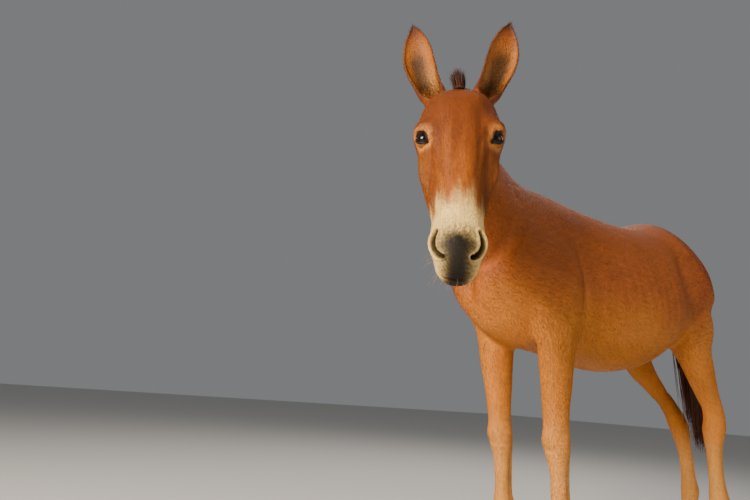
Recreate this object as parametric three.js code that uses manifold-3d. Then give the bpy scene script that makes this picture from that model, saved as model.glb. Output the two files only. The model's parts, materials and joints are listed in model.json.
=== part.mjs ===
// A standing sorrel mule, life size, with its head turned towards its left side.
// Millimetres, +Z up. The mule faces -Y, its left side is +X, and it stands on Z = 0.
import * as THREE from "three";
import { mergeVertices } from "three/addons/utils/BufferGeometryUtils.js";
import Module from "manifold-3d";

const wasm = await Module();
wasm.setup();

// Driving dimensions
const gap = 0.3; // clearance between two nodes that meet
const headYaw = THREE.MathUtils.degToRad(52); // turn of the face to the mule's left
const headPitch = THREE.MathUtils.degToRad(12); // lean of the muzzle out from the vertical
const poll = [388, -738, 1580]; // top of the head between the ears
const eyeRadius = 25;
const eyePlace = [98, -40, 262]; // on the left; across, out of the face, down the face
const earLength = 305;
const earLean = THREE.MathUtils.degToRad(18); // outwards
const earForward = 0.2; // tilt of the ears towards the front
const earTurn = 0.3; // how far each cup faces outwards
const earBase = [70, -78, 68];
const forelockLength = 82;
const forelockLocks = 9;
const tailTipHeight = 430;
const tailLocks = 12;
const foreHoofShift = { left: [4, 4], right: [-12, 10] }; // out to the side, and back
const hindHoofShift = { left: [-8, -38], right: [-38, 146] };

// Where the nodes part
const forelegPartHeight = 797;
const hindPart = { y: 700, z: 840, rise: 0.26 }; // a plane that climbs towards the rump
const neckBasePart = { point: [0, -196, 1330], normal: [0, -0.8, 0.6] };
const headPart = { point: [0, -158, 110], normal: [0, 0.86, 0.5] }; // in the head's frame
const coronet = { height: 76, slope: 0.42 };

const sides = { left: 1, right: -1 };
const box = 4000; // side of a cutting block

// A smooth function of t from 0 to 1 through rows of numbers.
function track(rows) {
  const width = rows[0].length;
  const curves = [];
  for (let c = 0; c < width; c += 3) {
    const points = rows.map((r) => new THREE.Vector3(r[c], r[c + 1] ?? 0, r[c + 2] ?? 0));
    curves.push(new THREE.CatmullRomCurve3(points, false, "catmullrom", 0.5));
  }
  return (t) => curves.flatMap((curve) => curve.getPoint(t).toArray()).slice(0, width);
}

// A closed surface through rings of points. pointAt takes the share along and the share around.
function ringSurface(rings, around, pointAt) {
  const points = [];
  for (let i = 0; i < rings; i++)
    for (let k = 0; k < around; k++) points.push(pointAt(i / (rings - 1), k / around));
  const middle = (i) => {
    const ring = points.slice(i * around, (i + 1) * around);
    return ring.reduce((sum, p) => sum.add(p), new THREE.Vector3()).divideScalar(around);
  };
  points.push(middle(0), middle(rings - 1));
  const [first, last] = [points.length - 2, points.length - 1];
  const faces = [];
  for (let k = 0; k < around; k++) {
    const next = (k + 1) % around;
    faces.push([first, next, k]);
    faces.push([last, (rings - 1) * around + k, (rings - 1) * around + next]);
    for (let i = 0; i < rings - 1; i++) {
      const [a, b] = [i * around + k, i * around + next];
      faces.push([a, b, b + around], [a, b + around, a + around]);
    }
  }
  const geometry = new THREE.BufferGeometry().setFromPoints(points).setIndex(faces.flat());
  if (volumeOf(points, faces) < 0) geometry.setIndex(faces.map(([a, b, c]) => [a, c, b]).flat());
  return geometry;
}

function volumeOf(points, faces) {
  const cross = new THREE.Vector3();
  return faces.reduce((sum, [a, b, c]) => sum + points[a].dot(cross.crossVectors(points[b], points[c])), 0);
}

// A point of an egg-shaped section. square is 2 for an ellipse and more for a boxy section.
function sectionPoint(share, half, above, below, squareAbove, squareBelow) {
  const angle = 2 * Math.PI * share;
  const [c, s] = [Math.cos(angle), Math.sin(angle)];
  const power = 2 / (s > 0 ? squareAbove : squareBelow);
  const reach = s > 0 ? above : below;
  return [half * Math.sign(c) * Math.abs(c) ** power, reach * Math.sign(s) * Math.abs(s) ** power];
}

// A body on straight rings. Rows: along, top, widest level, bottom, half width, squareness above and below.
function bodyOnRings(rows, rings, around, place) {
  const at = track(rows);
  return ringSurface(rings, around, (t, share) => {
    const [along, top, widest, bottom, half, above, below] = at(t);
    const [across, up] = sectionPoint(share, half, top - widest, widest - bottom, above, below);
    return place(along, across, widest + up);
  });
}

// A limb on level rings. Rows: height, centre x, centre y, half width, reach to the front and to the back.
function limb(rows, rings, around, side, square = 2.1) {
  const at = track(rows);
  return ringSurface(rings, around, (t, share) => {
    const [z, x, y, half, front, back] = at(t);
    const [across, along] = sectionPoint(share, half, back, front, square, square);
    return new THREE.Vector3(side * (x + across), y + along, z);
  });
}

// Moves the skin out along its normals, by grow everywhere and more round each mark: { at, size, push }.
function swell(geometry, marks, grow = 0) {
  geometry.computeVertexNormals();
  const position = geometry.getAttribute("position");
  const normal = geometry.getAttribute("normal");
  const [p, n] = [new THREE.Vector3(), new THREE.Vector3()];
  for (let i = 0; i < position.count; i++) {
    p.fromBufferAttribute(position, i);
    n.fromBufferAttribute(normal, i);
    let push = grow;
    for (const mark of marks) {
      const away = mark.size.reduce((sum, r, c) => sum + ((p.getComponent(c) - mark.at[c]) / r) ** 2, 0);
      push += mark.push * Math.exp(-away);
    }
    p.addScaledVector(n, push);
    position.setXYZ(i, p.x, p.y, p.z);
  }
  return geometry;
}

const mirrored = (marks) =>
  marks.flatMap((mark) => [mark, { ...mark, at: [-mark.at[0], mark.at[1], mark.at[2]] }]);

// Solids
function solid(geometry) {
  const bare = geometry.clone();
  bare.deleteAttribute("normal");
  bare.deleteAttribute("uv");
  const merged = mergeVertices(bare, 1e-3);
  const mesh = new wasm.Mesh({
    numProp: 3,
    vertProperties: merged.getAttribute("position").array,
    triVerts: new Uint32Array(merged.index.array),
  });
  return new wasm.Manifold(mesh);
}

const join = (list) => list.reduce((sum, next) => sum.add(next));

function largest(body) {
  return body.decompose().reduce((most, next) => (next.volume() > most.volume() ? next : most));
}

// The half space on the side that the normal points to, moved along the normal by shift.
function halfSpace(point, normal, shift = 0) {
  const n = new THREE.Vector3(...normal).normalize();
  const block = new THREE.BoxGeometry(box, box, box).translate(0, 0, box / 2 + shift);
  const turn = new THREE.Quaternion().setFromUnitVectors(new THREE.Vector3(0, 0, 1), n);
  return solid(block.applyQuaternion(turn).translate(...point));
}

function ellipsoid(at, radii, around = 16) {
  const ball = new THREE.SphereGeometry(1, around, Math.round(around * 0.7));
  return ball.scale(...radii).translate(...at);
}

// Torso: y, top, widest level, bottom, half width, squareness above and below
const torsoRows = [
  [-352, 1115, 1070, 1025, 38, 2, 2],
  [-338, 1180, 1068, 962, 90, 2, 2],
  [-296, 1275, 1060, 905, 147, 2, 2],
  [-215, 1420, 1070, 852, 186, 1.7, 2.1],
  [-105, 1494, 1080, 814, 212, 1.5, 2.2],
  [0, 1500, 1085, 806, 226, 1.5, 2.2],
  [120, 1482, 1088, 796, 246, 1.6, 2.2],
  [260, 1455, 1085, 772, 270, 1.85, 2.1],
  [410, 1445, 1080, 760, 288, 1.95, 2.1],
  [560, 1460, 1090, 786, 286, 1.95, 2.1],
  [680, 1504, 1120, 838, 270, 1.9, 2.1],
  [780, 1538, 1150, 888, 254, 1.9, 2],
  [870, 1542, 1165, 915, 244, 1.9, 2],
  [960, 1512, 1170, 938, 226, 1.9, 2],
  [1036, 1442, 1168, 965, 190, 1.9, 2],
  [1088, 1340, 1165, 1010, 134, 2, 2],
  [1112, 1250, 1165, 1085, 62, 2, 2],
];
const torsoMarks = mirrored([
  { at: [190, -200, 1120], size: [80, 110, 130], push: 16 }, // shoulder muscle
  { at: [205, -40, 1010], size: [70, 80, 110], push: 18 }, // triceps
  { at: [165, 40, 1330], size: [70, 60, 120], push: 9 }, // back edge of the shoulder blade
  { at: [215, 80, 1160], size: [60, 50, 170], push: -10 }, // hollow behind the shoulder
  { at: [250, 705, 1180], size: [60, 60, 130], push: -16 }, // flank
  { at: [205, 775, 1370], size: [55, 50, 60], push: 13 }, // point of the hip
  { at: [215, 930, 1230], size: [70, 110, 130], push: 14 }, // gluteal muscle
  { at: [120, 1110, 1190], size: [60, 50, 90], push: 10 }, // point of the buttock
  { at: [90, -330, 1040], size: [70, 60, 80], push: 14 }, // breast
  { at: [0, -345, 1060], size: [26, 50, 110], push: -12 }, // furrow of the breast, once from each side
]);

// Neck: centre x, y, z, half width, reach above and below
const neckRows = [
  [0, 70, 1165, 150, 285, 250],
  [0, -95, 1190, 150, 285, 268],
  [18, -235, 1255, 132, 300, 232],
  [70, -365, 1335, 106, 275, 190],
  [140, -478, 1400, 88, 235, 162],
  [218, -574, 1448, 80, 200, 150],
  [292, -648, 1468, 78, 138, 140],
  [348, -696, 1474, 70, 74, 110],
];

// Legs of the left side: height, centre x and y, half width, reach to the front and to the back
const forelegRows = [
  [1100, 100, -150, 56, 110, 110],
  [985, 134, -105, 68, 120, 125],
  [895, 152, -64, 71, 104, 118],
  [820, 155, -58, 64, 82, 80],
  [740, 151, -60, 55, 70, 66],
  [660, 147, -62, 50, 63, 59],
  [590, 144, -66, 47, 56, 49],
  [530, 143, -68, 46, 50, 46],
  [482, 142, -70, 49, 53, 49],
  [436, 141, -68, 42, 44, 48],
  [394, 141, -64, 33, 36, 44],
  [330, 140, -62, 30, 33, 41],
  [270, 140, -62, 31, 34, 43],
  [228, 140, -64, 37, 41, 51],
  [190, 140, -72, 35, 39, 45],
  [150, 140, -88, 32, 34, 36],
  [110, 140, -102, 37, 37, 38],
  [76, 140, -110, 45, 44, 45],
  [20, 140, -124, 40, 40, 40],
];
const hindlegRows = [
  [1190, 112, 920, 78, 130, 120],
  [1085, 138, 900, 86, 160, 130],
  [985, 152, 885, 86, 165, 122],
  [905, 152, 890, 70, 146, 92],
  [835, 152, 921, 60, 113, 76],
  [762, 149, 963, 52, 88, 64],
  [692, 145, 1012, 45, 66, 64],
  [640, 143, 1044, 41, 56, 69],
  [600, 141, 1060, 42, 55, 67],
  [560, 139, 1062, 45, 57, 59],
  [510, 137, 1056, 41, 50, 49],
  [460, 136, 1051, 34, 40, 45],
  [400, 135, 1050, 31, 37, 43],
  [320, 134, 1050, 31, 36, 43],
  [255, 134, 1050, 38, 43, 51],
  [215, 134, 1042, 36, 40, 45],
  [170, 134, 1022, 33, 35, 36],
  [125, 134, 1004, 38, 38, 38],
  [88, 134, 994, 45, 44, 45],
  [20, 134, 980, 40, 40, 40],
];
// Hoof: height, forward slip of the centre from the coronet, half width, reach to the front and back
const hoofRows = [
  [0, 26, 58, 62, 60],
  [12, 24, 57.5, 61, 59],
  [60, 8, 51, 51, 50],
  [100, -4, 46, 44, 44],
  [125, -12, 40, 38, 38],
];

// Moves a leg's lower end by the hoof's shift; the top stays with the body.
function stepped(rows, [out, back]) {
  const top = rows[2][0];
  return rows.map(([z, x, y, ...rest]) => {
    const share = THREE.MathUtils.smoothstep(top - z, 0, top * 0.62);
    return [z, x + out * share, y + back * share, ...rest];
  });
}

function coronetPlane(x, y, shift) {
  return halfSpace([x, y, coronet.height], [0, coronet.slope, 1], shift);
}

const node = {}; // finished solids by name
const nodeMaterial = {};

function keep(name, material, body) {
  node[name] = largest(body);
  nodeMaterial[name] = material;
}

// Legs and hooves
const upperLegs = [];
const hindClear = []; // the hind legs grown a little, for the tail to keep clear of
for (const [sideName, side] of Object.entries(sides)) {
  const foreRows = stepped(forelegRows, foreHoofShift[sideName]);
  const foreleg = solid(limb(foreRows, 30, 16, side));
  const forePoint = [0, 0, forelegPartHeight];
  upperLegs.push(foreleg.intersect(halfSpace(forePoint, [0, 0, 1])));
  const foreLower = foreleg.intersect(halfSpace(forePoint, [0, 0, -1], gap));

  const hindRows = stepped(hindlegRows, hindHoofShift[sideName]);
  const hindleg = solid(limb(hindRows, 32, 16, side));
  hindClear.push(solid(swell(limb(hindRows, 32, 16, side), [], 3 * gap)));
  const hindPoint = [0, hindPart.y, hindPart.z];
  upperLegs.push(hindleg.intersect(halfSpace(hindPoint, [0, -hindPart.rise, 1])));
  const hindLower = hindleg.intersect(halfSpace(hindPoint, [0, hindPart.rise, -1], gap));

  for (const [kind, leg, rows] of [["fore", foreLower, foreRows], ["hind", hindLower, hindRows]]) {
    const [, x, y] = rows[rows.length - 2];
    keep(`${kind}leg_${sideName}`, "coat", leg.intersect(coronetPlane(side * x, y, gap / 2)));
    const hoofLimb = hoofRows.map(([z, slip, ...rest]) => [z, x, y - slip, ...rest]);
    const below = halfSpace([side * x, y, coronet.height], [0, -coronet.slope, -1], gap / 2);
    keep(`hoof_${kind}_${sideName}`, "hoof", solid(limb(hoofLimb, 6, 16, side, 2.2)).intersect(below));
  }
}

// Torso and neck
const torsoPoint = (along, side, up) => new THREE.Vector3(side, along, up);
const torsoShell = (grow) => solid(swell(bodyOnRings(torsoRows, 28, 32, torsoPoint), torsoMarks, grow));
const torsoSolid = torsoShell(0);

function neckGeometry() {
  const centres = neckRows.map(([x, y, z]) => new THREE.Vector3(x, y, z));
  const path = new THREE.CatmullRomCurve3(centres, false, "catmullrom", 0.5);
  const sizes = track(neckRows.map((r) => r.slice(3)));
  const sky = new THREE.Vector3(0, 0, 1);
  return ringSurface(15, 28, (t, share) => {
    const tangent = path.getTangent(t);
    const across = new THREE.Vector3().crossVectors(tangent, sky).normalize();
    const up = new THREE.Vector3().crossVectors(across, tangent);
    const [half, above, below] = sizes(t);
    const [x, y] = sectionPoint(share, half, above, below, 1.75, 2.1);
    return path.getPoint(t).addScaledVector(across, x).addScaledVector(up, y);
  });
}

// Head, in its own frame: across to the mule's left, out of the face, and down the face
const forward = new THREE.Vector3(Math.sin(headYaw), -Math.cos(headYaw), 0);
const across = new THREE.Vector3(Math.cos(headYaw), Math.sin(headYaw), 0);
const down = new THREE.Vector3(0, 0, -Math.cos(headPitch)).addScaledVector(forward, Math.sin(headPitch));
const out = new THREE.Vector3().crossVectors(down, across);
const headPlace = new THREE.Matrix4().makeBasis(across, out, down).setPosition(...poll);
const inHead = (geometry) => solid(geometry.applyMatrix4(headPlace));

// Down the face, face line, widest level, jaw line, half width, squareness above and below
const headRows = [
  [12, -94, -116, -150, 44, 2, 2],
  [26, -70, -108, -205, 76, 2.2, 2],
  [66, -28, -98, -252, 100, 2.2, 2],
  [124, 4, -90, -284, 115, 2.2, 2.1],
  [190, 17, -84, -300, 125, 2.2, 2.1],
  [250, 20, -84, -292, 122, 2.2, 2.1],
  [305, 18, -92, -266, 114, 1.95, 2.1],
  [365, 14, -100, -236, 107, 1.85, 2.1],
  [435, 8, -94, -200, 93, 1.85, 2.1],
  [505, 2, -76, -162, 74, 2.1, 2.2],
  [560, -2, -72, -148, 71, 2.4, 2.3],
  [606, -7, -72, -150, 71, 2.4, 2.3],
  [642, -18, -78, -150, 60, 2.3, 2.2],
  [668, -34, -86, -148, 48, 2.2, 2.2],
  [684, -56, -92, -136, 34, 2, 2],
  [690, -78, -94, -112, 14, 2, 2],
];
const headMarks = mirrored([
  { at: [108, -44, 232], size: [26, 40, 28], push: 22 }, // brow
  { at: [90, -14, 162], size: [24, 30, 28], push: -11 }, // temple hollow
  { at: [112, -120, 200], size: [40, 70, 60], push: 7 }, // cheek
  { at: [100, -78, 330], size: [24, 16, 70], push: 9 }, // facial crest
  { at: [72, -30, 420], size: [22, 30, 70], push: -7 }, // hollow beside the nose bone
  { at: [70, -44, 602], size: [20, 34, 34], push: 8 }, // nostril wing
  { at: [30, -118, 660], size: [28, 16, 22], push: 5 }, // lower lip
  { at: [30, -66, 674], size: [32, 22, 18], push: 5 }, // upper lip
  { at: [0, -158, 640], size: [34, 18, 34], push: 7 }, // chin
  { at: [0, -250, 230], size: [26, 60, 130], push: -14 }, // hollow between the jaws
]);
const facePoint = (along, side, up) => new THREE.Vector3(side, up, along);
const headShell = (grow) => inHead(swell(bodyOnRings(headRows, 30, 32, facePoint), headMarks, grow));

// Places a shape drawn round the origin, facing +Z, on one eye; its X runs towards the muzzle.
function eyeMatrix(side) {
  const gaze = new THREE.Vector3(side * 0.74, 0.64, 0.12).normalize();
  const toMuzzle = new THREE.Vector3(-side * 0.5, 0.45, 0.72);
  const y = new THREE.Vector3().crossVectors(gaze, toMuzzle).normalize();
  const x = new THREE.Vector3().crossVectors(y, gaze);
  const [across, out, down] = eyePlace;
  return new THREE.Matrix4().makeBasis(x, y, gaze).setPosition(side * across, out, down);
}

function eyeOpening(side) {
  const half = eyeRadius;
  const [lift, drop] = side > 0 ? [18, 11] : [11, 18];
  const shape = new THREE.Shape();
  shape.moveTo(-half, 0);
  shape.quadraticCurveTo(0, 2 * lift, half, 0);
  shape.quadraticCurveTo(0, -2 * drop, -half, 0);
  const prism = new THREE.ExtrudeGeometry(shape, { depth: 60, bevelEnabled: false, curveSegments: 8 });
  return inHead(prism.translate(0, 0, 10).applyMatrix4(eyeMatrix(side)));
}

function eyeBall(side, radius) {
  const ball = new THREE.SphereGeometry(radius, 14, 9).rotateX(Math.PI / 2);
  return inHead(ball.applyMatrix4(eyeMatrix(side)));
}

function nostril(side) {
  const drops = [
    [[66, -22, 582], [7, 16, 15]],
    [[64, -24, 604], [9, 20, 18]],
    [[50, -30, 628], [14, 20, 14]],
  ];
  return join(drops.map(([[x, y, z], radii]) => inHead(ellipsoid([side * x, y, z], radii, 12))));
}

// A groove round the muzzle between the lips
function mouthGroove() {
  const [width, thickness, length] = [260, 5, 150];
  const blade = new THREE.BoxGeometry(width, thickness, length).translate(0, 0, length / 2);
  blade.applyMatrix4(new THREE.Matrix4().makeRotationX(-0.26)).translate(0, -122, 588);
  return inHead(blade).subtract(headShell(-7));
}

// Along the ear: share of its length, half width, cup depth, how far the edges wrap round, thickness
const earRows = [
  [0, 40, 34, 2.6, 9],
  [0.12, 44, 35, 2.2, 8],
  [0.3, 46, 33, 1.95, 6.5],
  [0.5, 51, 31, 1.75, 5.5],
  [0.7, 49, 25, 1.55, 5],
  [0.87, 33, 15, 1.4, 4],
  [1, 4, 3, 1.35, 1.6],
];

// A cup that opens out of the face. Half of each ring runs along its back and half along its inside.
function earCup(side) {
  const at = track(earRows);
  const arc = 9;
  return ringSurface(15, arc * 2, (t, share) => {
    const [along, half, depth, wrap, thick] = at(t);
    const k = Math.round(share * arc * 2);
    const inside = k >= arc;
    const angle = wrap * (inside ? 1 - (2 * (k - arc)) / (arc - 1) : (2 * k) / (arc - 1) - 1);
    const shrink = inside ? thick : 0;
    const bow = side * (16 * Math.sin(Math.PI * along) - 4 * along ** 3);
    return new THREE.Vector3(
      (half - shrink) * Math.sin(angle) + bow,
      -(depth - shrink) * Math.cos(angle) - 12 * Math.sin(Math.PI * along),
      -along * earLength,
    );
  });
}

function ear(side) {
  const place = new THREE.Matrix4()
    .makeTranslation(side * earBase[0], earBase[1], earBase[2])
    .multiply(new THREE.Matrix4().makeRotationY(-side * earLean))
    .multiply(new THREE.Matrix4().makeRotationX(earForward))
    .multiply(new THREE.Matrix4().makeRotationZ(-side * earTurn));
  const root = ellipsoid([0, -4, 4], [41, 35, 38], 14);
  return join([earCup(side), root].map((shape) => inHead(shape.applyMatrix4(place))));
}

// A flat, tapered lock of hair along a path. broad is the direction of its width at the root.
function lock(points, width, thickness, broad, rings = 7) {
  const path = new THREE.CatmullRomCurve3(points);
  return ringSurface(rings, 4, (t, share) => {
    const tangent = path.getTangent(t);
    const face = new THREE.Vector3().crossVectors(tangent, broad).normalize();
    const wide = new THREE.Vector3().crossVectors(face, tangent);
    const taper = Math.min(1, 0.6 + 1.6 * t) * Math.max(0.1, 1 - t ** 2.2);
    const angle = 2 * Math.PI * share;
    return path
      .getPoint(t)
      .addScaledVector(wide, 0.5 * width * taper * Math.cos(angle))
      .addScaledVector(face, 0.5 * thickness * Math.max(0.3, taper) * Math.sin(angle));
  });
}

// A repeatable random number from 0 to 1
let seed = 7;
function random() {
  seed = (seed * 16807) % 2147483647;
  return seed / 2147483647;
}
const vary = (spread) => (random() - 0.5) * 2 * spread;

// Forelock: short locks that stand up between the ears
function forelock() {
  const root = inHead(ellipsoid([0, -52, 48], [15, 20, 20], 12));
  const locks = [];
  for (let i = 0; i < forelockLocks; i++) {
    const [row, column] = [Math.floor(i / 3), (i % 3) - 1];
    const foot = new THREE.Vector3(column * 7, -42 - row * 11, 48);
    const reach = forelockLength * (1 - 0.12 * row + vary(0.1));
    const lean = column * 10 - 8 + vary(5);
    const points = [
      foot,
      foot.clone().add(new THREE.Vector3(lean * 0.3, 2, -reach * 0.5)),
      foot.clone().add(new THREE.Vector3(lean, 6 + vary(4), -reach)),
    ];
    locks.push(inHead(lock(points, 15, 7, new THREE.Vector3(1, 0, 0), 6)));
  }
  return join([root, ...locks]);
}

// Tail: a fleshy dock that hangs from the croup, and long locks rooted along it
const dockPath = [
  [0, 1090, 1368],
  [0, 1146, 1342],
  [0, 1184, 1270],
  [0, 1192, 1180],
  [0, 1186, 1090],
  [0, 1180, 1000],
];
function tail() {
  const path = new THREE.CatmullRomCurve3(dockPath.map((p) => new THREE.Vector3(...p)));
  const sideways = new THREE.Vector3(1, 0, 0);
  const dock = ringSurface(12, 12, (t, share) => {
    const tangent = path.getTangent(t);
    const face = new THREE.Vector3().crossVectors(tangent, sideways).normalize();
    const radius = THREE.MathUtils.lerp(36, 13, t);
    const angle = 2 * Math.PI * share;
    return path
      .getPoint(t)
      .addScaledVector(sideways, radius * Math.cos(angle))
      .addScaledVector(face, radius * Math.sin(angle));
  });
  const pieces = [solid(dock)];
  for (let i = 0; i < tailLocks; i++) {
    const share = i / (tailLocks - 1);
    const t = 0.24 + 0.72 * share;
    const foot = path.getPoint(t);
    const round = i * 2.4; // the locks are set round the dock, each a golden turn from the last
    const spread = 30 + 16 * Math.sin(share * Math.PI);
    const away = new THREE.Vector3(Math.sin(round), Math.cos(round) * 0.8, 0);
    const tipHeight = tailTipHeight + 260 * (1 - share) * random() + 30 * random();
    const fall = foot.z - tipHeight;
    const level = (drop, outwards) =>
      foot.clone().addScaledVector(away, outwards).add(new THREE.Vector3(0, -14 * drop, -fall * drop));
    const points = [
      foot,
      level(0.14, spread * 0.75),
      level(0.45, spread * (1 + vary(0.15))),
      level(0.75, spread * (0.8 + vary(0.25))),
      level(1, spread * (0.45 + vary(0.3))),
    ];
    const broad = new THREE.Vector3(away.y, -away.x, 0);
    pieces.push(solid(lock(points, 50 + vary(6), 15, broad, 7)));
  }
  return join(pieces);
}

const neckSolid = solid(neckGeometry());
const neckFront = halfSpace(neckBasePart.point, neckBasePart.normal);
const neckBack = halfSpace(neckBasePart.point, neckBasePart.normal.map((c) => -c), gap);

// The head's parting plane, which runs from behind the poll to the throat
function headHalf(direction, shift) {
  const point = new THREE.Vector3(...headPart.point).applyMatrix4(headPlace);
  const normal = new THREE.Vector3(...headPart.normal).transformDirection(headPlace);
  return halfSpace(point.toArray(), normal.multiplyScalar(direction).toArray(), shift);
}

const skull = headShell(0);
const flesh = join([torsoSolid, neckSolid, ...upperLegs]);
keep("tail", "hair", tail().subtract(join([torsoShell(3 * gap), ...hindClear])));
keep("torso", "coat", flesh.intersect(neckBack).subtract(headHalf(1, 0)));
keep("neck", "coat", flesh.add(skull).intersect(neckFront).intersect(headHalf(-1, gap)));

let head = flesh.intersect(neckFront).add(skull).intersect(headHalf(1, 0));
for (const side of Object.values(sides)) head = head.add(eyeBall(side, eyeRadius + 5));
for (const side of Object.values(sides))
  head = head.subtract(eyeBall(side, eyeRadius + gap)).subtract(eyeOpening(side)).subtract(nostril(side));
head = head.subtract(mouthGroove());
keep("head", "coat", head);

const skullClear = headShell(gap).add(solid(swell(neckGeometry(), [], gap)));
for (const [sideName, side] of Object.entries(sides)) {
  keep(`eye_${sideName}`, "eye", eyeBall(side, eyeRadius));
  keep(`ear_${sideName}`, "coat", ear(side).subtract(skullClear));
}
keep("forelock", "hair", forelock().subtract(skullClear));

const materials = {
  coat: new THREE.MeshStandardMaterial({ color: 0xa8602c, roughness: 0.75, metalness: 0 }),
  hair: new THREE.MeshStandardMaterial({ color: 0x5a2f17, roughness: 0.7, metalness: 0 }),
  hoof: new THREE.MeshStandardMaterial({ color: 0x4a4038, roughness: 0.55, metalness: 0 }),
  eye: new THREE.MeshStandardMaterial({ color: 0x120b08, roughness: 0.08, metalness: 0 }),
};

const mule = new THREE.Group();
for (const [name, body] of Object.entries(node)) {
  const { vertProperties, triVerts } = body.getMesh();
  const geometry = new THREE.BufferGeometry()
    .setAttribute("position", new THREE.BufferAttribute(new Float32Array(vertProperties), 3))
    .setIndex(new THREE.BufferAttribute(new Uint32Array(triVerts), 1));
  const mesh = new THREE.Mesh(geometry, materials[nodeMaterial[name]]);
  mesh.name = name;
  mule.add(mesh);
}

// The origin is on the floor, midway along and across.
const bounds = new THREE.Box3().setFromObject(mule);
const centre = bounds.getCenter(new THREE.Vector3());
mule.position.set(-centre.x, -centre.y, -bounds.min.z);

export default mule;
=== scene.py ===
import json
import math

import bmesh
import bpy
import numpy as np
from mathutils import Matrix, Vector

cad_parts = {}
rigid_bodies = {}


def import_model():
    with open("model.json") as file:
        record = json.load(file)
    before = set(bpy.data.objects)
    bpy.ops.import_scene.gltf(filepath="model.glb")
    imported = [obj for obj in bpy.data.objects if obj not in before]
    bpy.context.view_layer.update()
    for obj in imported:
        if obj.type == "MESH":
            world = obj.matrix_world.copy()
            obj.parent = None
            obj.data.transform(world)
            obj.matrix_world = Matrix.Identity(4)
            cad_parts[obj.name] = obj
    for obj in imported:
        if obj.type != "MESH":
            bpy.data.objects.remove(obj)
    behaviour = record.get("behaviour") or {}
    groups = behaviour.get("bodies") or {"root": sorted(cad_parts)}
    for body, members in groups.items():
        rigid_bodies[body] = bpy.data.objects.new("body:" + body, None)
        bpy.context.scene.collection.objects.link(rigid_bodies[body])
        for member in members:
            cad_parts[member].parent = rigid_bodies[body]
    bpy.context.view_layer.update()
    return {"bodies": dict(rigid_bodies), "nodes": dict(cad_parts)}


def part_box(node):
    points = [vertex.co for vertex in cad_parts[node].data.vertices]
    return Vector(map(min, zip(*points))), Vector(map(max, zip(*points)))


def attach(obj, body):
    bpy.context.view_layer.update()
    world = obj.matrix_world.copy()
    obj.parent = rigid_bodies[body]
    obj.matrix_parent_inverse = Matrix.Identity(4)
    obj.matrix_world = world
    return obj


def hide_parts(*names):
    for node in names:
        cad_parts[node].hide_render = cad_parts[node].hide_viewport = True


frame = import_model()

mm = 0.001

# Lengths in the dictionaries are millimetres in the mule's own frame: it faces -Y, its left is +X.
# The frame's front left hoof says where that frame sits.
stance = {"hoofCorner": (86.0, -193.8)}
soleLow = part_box("hoof_fore_left")[0]
origin = np.array([soleLow.x - stance["hoofCorner"][0] * mm, soleLow.y - stance["hoofCorner"][1] * mm, 0.0])

cameraView = {
    "place": (1400, -1580, 585),
    "azimuth": -60.0,   # degrees; 0 looks along +Y
    "climb": 16.6,
    "roll": 4.1,
    "lens": 23.76,
    "sensor": 36.0,
}


def toMetres(points):
    return np.asarray(points, float) * mm + origin


def makeCamera():
    azimuth, climb, roll = (math.radians(cameraView[key]) for key in ("azimuth", "climb", "roll"))
    level = math.cos(climb)
    forward = Vector((math.sin(azimuth) * level, math.cos(azimuth) * level, math.sin(climb)))
    right = forward.cross(Vector((0, 0, 1))).normalized()
    down = forward.cross(right)
    rolledRight = right * math.cos(roll) - down * math.sin(roll)
    rolledDown = right * math.sin(roll) + down * math.cos(roll)
    data = bpy.data.cameras.new("camera")
    data.lens = cameraView["lens"]
    data.sensor_width = cameraView["sensor"]
    data.clip_end = 200
    camera = bpy.data.objects.new("camera", data)
    bpy.context.scene.collection.objects.link(camera)
    matrix = Matrix((rolledRight, -rolledDown, -forward)).transposed().to_4x4()
    matrix.translation = Vector(toMetres(cameraView["place"]))
    camera.matrix_world = matrix
    bpy.context.scene.camera = camera


makeCamera()
print("camera placed")


# Numbers and curves

def unit(vectors):
    vectors = np.asarray(vectors, float)
    return vectors / np.maximum(np.linalg.norm(vectors, axis=-1, keepdims=True), 1e-9)


def ramp(values, start, end):
    share = np.clip((np.asarray(values, float) - start) / (end - start), 0, 1)
    return share * share * (3 - 2 * share)


def bell(value, power=2):
    # 1 in the middle, falling to nothing on both sides
    return np.exp(-(value**power))


def mound(points, at, size):
    return np.exp(-(((points - at) / size) ** 2).sum(1))


def track(rows, t):
    # a smooth curve through the rows of a table
    rows = np.asarray(rows, float)
    before = np.vstack([2 * rows[0] - rows[1], rows, 2 * rows[-1] - rows[-2]])
    place = np.clip(t, 0, 1) * (len(rows) - 1)
    i = np.minimum(place.astype(int), len(rows) - 2)
    w = (place - i)[..., None]
    p0, p1, p2, p3 = before[i], before[i + 1], before[i + 2], before[i + 3]
    m1, m2 = 0.5 * (p2 - p0), 0.5 * (p3 - p1)
    cubic = (2 * p1 - 2 * p2 + m1 + m2) * w**3 + (3 * p2 - 3 * p1 - 2 * m1 - m2) * w**2
    return cubic + m1 * w + p1


def tangentOf(rows, t, step=1e-3):
    return unit(track(rows, np.minimum(t + step, 1)) - track(rows, np.maximum(t - step, 0)))


def waves(points, size, seed, octaves=3):
    # a smooth, repeatable noise from -1 to 1 made of crossing waves
    rng = np.random.default_rng(seed)
    total, weight = np.zeros(len(points)), 0.0
    for octave in range(octaves):
        step = 2 * math.pi * 2**octave / size
        layer = np.zeros(len(points))
        for _ in range(6):
            crossing = unit(rng.normal(size=3)) * step * rng.uniform(0.7, 1.3)
            layer += np.sin(points @ crossing + rng.uniform(0, 6.28))
        total += layer / 2.4 * 0.5**octave
        weight += 0.5**octave
    return np.clip(total / weight, -1, 1)


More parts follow.
